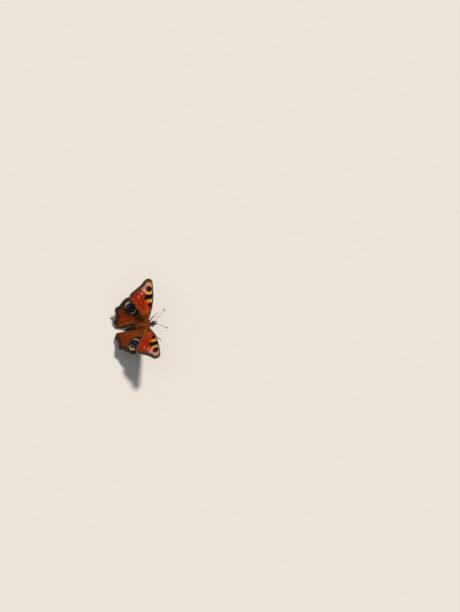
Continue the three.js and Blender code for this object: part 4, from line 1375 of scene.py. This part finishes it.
def faceHair(shape, look, rng):
    edge = shape["edge"]
    places = rng.uniform(edge.min(0), edge.max(0), (look["tries"], 2))
    places = places[insideLoop(edge, places)]
    fromRoot = np.linalg.norm(places, axis=1)
    fromInner = nearestOn(shape["innerEdge"], places)[0]
    atRoot = smooth(look["reach"], 0.35 * look["reach"], fromRoot)
    atInner = 0.8 * smooth(look["inner"], 0.3 * look["inner"], fromInner)
    kept = rng.random(len(places)) < np.maximum(atRoot, atInner)
    places, fromRoot = places[kept], fromRoot[kept]
    lie = unit(places - np.array(shape["hub"]))
    short, full = look["length"]
    length = full + (short - full) * smooth(0.2 * look["reach"], look["reach"], fromRoot)

    brim = look["brim"]
    along = rng.random((brim["count"], 1))
    row = np.array(brim["from"]) + along * np.subtract(brim["to"], brim["from"])
    places = np.vstack([places, row + rng.uniform(-0.15, 0.15, row.shape)])
    lie = np.vstack([lie, np.broadcast_to(brim["lie"], row.shape)])
    length = np.append(length, np.interp(along[:, 0], (0, 1), wingHair["brimLength"]))
    inBrim = np.repeat((0, 1), (len(fromRoot), len(row)))
    # single hairs turn darker at random; the brim's hairs are also painted darker, as shade in the gap
    # beside the body
    dark = wingHair["darkShare"] * rng.random(len(places)) + wingHair["brimPaintedShade"] * inBrim
    return hairPlaces(shape, places, lie, length), dark


def rimHair(shape, look, rng):
    # along the front edge from the root, lying toward the tip
    line = shape["frontEdge"]
    gone = lengthAlong(line)
    along = look["reach"] * rng.random(look["rim"]["count"]) ** 1.4
    places = pick(line, gone, along)
    lie = unit(pick(line, gone, along + 0.3) - places)
    length = np.interp(along, (0, look["reach"]), look["rim"]["length"])
    return hairPlaces(shape, places, lie, length), wingHair["darkShare"] * rng.random(len(places))


def makeWingHair():
    rng = np.random.default_rng(wingHair["seed"])
    for kind, shape in wings.items():
        for part, face, placeHair in (("Hair", 1, faceHair), ("RimHair", 0, rimHair)):
            sites, dark = placeHair(shape, wingHair[kind], rng)
            # the darker tint carries the hairs' own darker tone and the brim's painted shade
            colour = blendTints(dark, *wingHair["tints"])
            for way in sides:
                name = kind + way + part
                mesh = siteMesh(name, shape, way, face, sites)
                setAttributes(mesh, "FLOAT_COLOR", {"coatColour": colour})
                growCoat(mesh, name, "fur", {
                    "Tuft": tufts["long"], "Lift": wingHair["lift"], "Lift Varies": 0.08,
                    "Turn Varies": 0.2, "Size Varies": 0.2, "Seed": wingHair["seed"],
                    "Material": furMaterial,
                })


makeWingHair()


# Eyes: a dark ball of domed facets
def buildFacetTree():
    tree, given = newTree("facets", {"Subdivisions": "Int", "Dome": "Float", "Material": "Material"})
    ball = addNode(tree, "GeometryNodeMeshIcoSphere", {"Radius": 1.0, "Subdivisions": given["Subdivisions"]})
    cells = addNode(tree, "GeometryNodeDualMesh", {0: ball})
    raised = addNode(tree, "GeometryNodeExtrudeMesh", {
        "Mesh": cells, "Offset Scale": given["Dome"], "Individual": True}, mode="FACES")
    narrowed = addNode(tree, "GeometryNodeScaleElements", {
        "Geometry": raised, "Selection": raised.outputs["Top"], "Scale": 0.55}, domain="FACE")
    rounded = addNode(tree, "GeometryNodeSetShadeSmooth", {0: narrowed})
    endTree(tree, rounded, given["Material"])
    return tree


def eyeMaterial():
    material, tree, shader = newMaterial("eyeFacets")
    patches = ranged(tree, noise(tree, objectPlace(tree), 900.0, 2.0), 0.4, 0.7)
    fill(tree, shader, {
        "Base Color": mixed(tree, patches, tinted("eyeDark"), tinted("eyeWarm")), "Roughness": 0.3,
        "Specular IOR Level": 0.35, "Coat Weight": 0.1, "Coat Roughness": 0.15,
    })
    return material


def makeEyes():
    tree, material = buildFacetTree(), eyeMaterial()
    for way, side in sides.items():
        obj = runTree(tree, newMesh("eye", [(0, 0, 0)]), "eye" + way, {
            "Subdivisions": eyes["subdivisions"], "Dome": eyes["dome"], "Material": material,
        })
        shape = Matrix.Diagonal((*eyes["radii"], 1))
        obj.data.transform(Matrix.Translation(mirrored(eyes["at"], side)) @ shape)
        settle(obj, "eye", f"eye_{way.lower()}")


makeEyes()


# Feelers and tongue: ringed tubes along a line
feelers = {
    "length": 13.2, "spread": 27, "rise": 16, "base": (6.45, 0.4, 1.25),
    "bends": ((0, 0), (0.3, 0.55), (0.65, 0.6), (1, -0.35)),  # share of the length, height over the straight
    "tube": {"Radius": 0.13, "Rings": 42.0, "Ring Depth": 0.028, "Club Start": 0.868, "Club Radius": 0.26,
             "Tip": 0.3},
}
tongue = {
    "middle": (6.8, -1.65), "turns": 1.9, "gap": 0.55, "inner": 0.12, "start": 0.62,
    "tube": {"Radius": 0.15, "Rings": 90.0, "Ring Depth": 0.012, "Club Start": 2.0, "Club Radius": 0.0,
             "Tip": 0.6},
}


def buildRingedTree():
    tree, given = newTree("ringedTube", {
        "Steps": "Int", "Radius": "Float", "Rings": "Float", "Ring Depth": "Float", "Club Start": "Float",
        "Club Radius": "Float", "Tip": "Float", "Material": "Material",
    })
    line = addNode(tree, "GeometryNodeMeshToCurve", {0: given["Geometry"]})
    sized = addNode(tree, "GeometryNodeResampleCurve", {"Curve": line, "Count": given["Steps"]})
    factor = addNode(tree, "GeometryNodeSplineParameter").outputs["Factor"]
    ring = math2(tree, "FRACT", math2(tree, "MULTIPLY", factor, given["Rings"]))
    flare = math2(tree, "MULTIPLY", math2(tree, "POWER", ring, 3.0), given["Ring Depth"])
    swell = ranged(tree, factor, given["Club Start"], math2(tree, "ADD", given["Club Start"], 0.06),
                   0.0, given["Club Radius"], interpolation_type="SMOOTHSTEP")
    taper = ranged(tree, factor, 0.96, 1.0, 1.0, given["Tip"], interpolation_type="SMOOTHSTEP")
    girth = math2(tree, "ADD", math2(tree, "ADD", given["Radius"], flare), swell)
    radius = math2(tree, "MULTIPLY", girth, taper)
    sized = addNode(tree, "GeometryNodeSetCurveRadius", {"Curve": sized, "Radius": radius})
    for name, value in (("along", factor), ("ring", ring)):
        sized = stored(tree, sized, name, value)
    circle = addNode(tree, "GeometryNodeCurvePrimitiveCircle", {"Resolution": 14, "Radius": 1.0})
    skin = addNode(tree, "GeometryNodeCurveToMesh", {
        "Curve": sized, "Profile Curve": circle, "Fill Caps": True, "Scale": radius})
    endTree(tree, addNode(tree, "GeometryNodeSetShadeSmooth", {0: skin}), given["Material"])
    return tree


def ringedMaterial(name, base, band, tip, bandWidth):
    material, tree, shader = newMaterial(name)
    fleck = noise(tree, objectPlace(tree), 6000.0, 2.0)
    along = attribute(tree, "along")
    ring = math2(tree, "ADD", attribute(tree, "ring"), ranged(tree, fleck, 0.3, 0.7, -0.1, 0.1))
    pale = ranged(tree, ring, bandWidth, bandWidth * 0.6)
    shaft = math2(tree, "MULTIPLY", pale, ranged(tree, along, 0.85, 0.8))
    colour = mixed(tree, shaft, tinted(base), tinted(band))
    colour = mixed(tree, ranged(tree, along, 0.98, 0.992), colour, tinted(tip))
    bump = addNode(tree, "ShaderNodeBump", {"Height": fleck, "Strength": 0.4, "Distance": 0.00002})
    fill(tree, shader, {"Base Color": colour, "Roughness": 0.45, "Normal": bump})
    return material


def feelerLine(side):
    spread, rise = math.radians(feelers["spread"]), math.radians(feelers["rise"])
    base = mirrored(feelers["base"], side)
    points = [base - (0.35, 0, 0.5)]
    for share, sag in feelers["bends"]:
        points.append(base + (
            feelers["length"] * share * math.cos(rise) * math.cos(spread),
            side * feelers["length"] * share * math.cos(rise) * math.sin(spread * (0.75 + 0.35 * share)),
            feelers["length"] * share * math.sin(rise) + sag,
        ))
    return spline(points, 0.15)[0]


def tongueLine():
    t = np.linspace(0, 1, 90)
    angle = math.pi * tongue["start"] - t * tongue["turns"] * 2 * math.pi
    radius = tongue["turns"] * tongue["gap"] * (1 - t) + tongue["inner"]
    x, z = tongue["middle"]
    return np.column_stack([x + radius * np.cos(angle), 0.05 * t, z + radius * np.sin(angle)])


def makeRinged(tree, name, slotName, node, line, look, material):
    mesh = newMesh(name, line, edges=[(k, k + 1) for k in range(len(line) - 1)])
    made = runTree(tree, mesh, name, {"Steps": 420, "Material": material, **look["tube"]})
    settle(made, slotName, node)


def makeFeelers():
    tree = buildRingedTree()
    shaft = ringedMaterial("feelerShaft", "feeler", "feelerRing", "feelerTip", 0.3)
    for way, side in sides.items():
        node = f"antenna_{way.lower()}"
        makeRinged(tree, "antenna" + way, "antenna", node, feelerLine(side), feelers, shaft)
    brown = ringedMaterial("tongueSkin", "tongue", "tongueRing", "tongue", 0.5)
    makeRinged(tree, "proboscisCoil", "chitin", "proboscis", tongueLine(), tongue, brown)


makeFeelers()


# Claws on the toes and spurs at the ankles. The steps lead ahead, aside and up from the root.
hooks = {
    "claw": {
        "steps": ((-0.2, 0.05, 0.02), (0.14, 0.16, 0.1), (0.36, 0.25, 0.02), (0.46, 0.29, -0.12)),
        "radius": 0.075, "tip": 0.012, "fall": 2, "fineness": 0.03, "corners": 10,
    },
    "spur": {
        "steps": ((-0.2, 0.1, 0), (0.15, 0.24, 0), (0.5, 0.3, 0)),
        "radius": 0.055, "tip": 0.01, "fall": 1, "fineness": 0.04, "corners": 8,
    },
}


def hornMaterial():
    material, tree, shader = newMaterial("clawHorn")
    streak = ranged(tree, noise(tree, objectPlace(tree), 2500.0, 2.0), 0.35, 0.65)
    colour = mixed(tree, streak, tinted("horn"), tinted("hornPale"))
    fill(tree, shader, {"Base Color": colour, "Roughness": 0.3})
    return material


def hookTube(look, root, ahead, aside):
    route = [root + a * ahead + b * aside + c * floorUp for a, b, c in look["steps"]]
    curve = spline(route, look["fineness"])[0]
    share = np.linspace(0, 1, len(curve))
    return tube(curve, look["radius"] * (1 - share ** look["fall"]) + look["tip"], look["corners"], floorUp)


def makeClaws():
    parts = []
    for leg in legs.values():
        for side in sides.values():
            toe = fromFloor(leg["toe"], side)
            ahead = unit(toe - fromFloor((*leg["heel"][:2], leg["toe"][2]), side))
            aside = np.cross(floorUp, ahead)
            shin = legLine(leg, side)["tibia"]
            for way in (1, -1):
                parts.append(hookTube(hooks["claw"], toe, ahead, way * aside))
                parts.append(hookTube(hooks["spur"], shin[-1], unit(shin[-1] - shin[0]), way * aside))
    mesh = newMesh("claws", *joined(parts))
    mesh.materials.append(hornMaterial())
    settle(newObject("claws", mesh), "leg")


makeClaws()
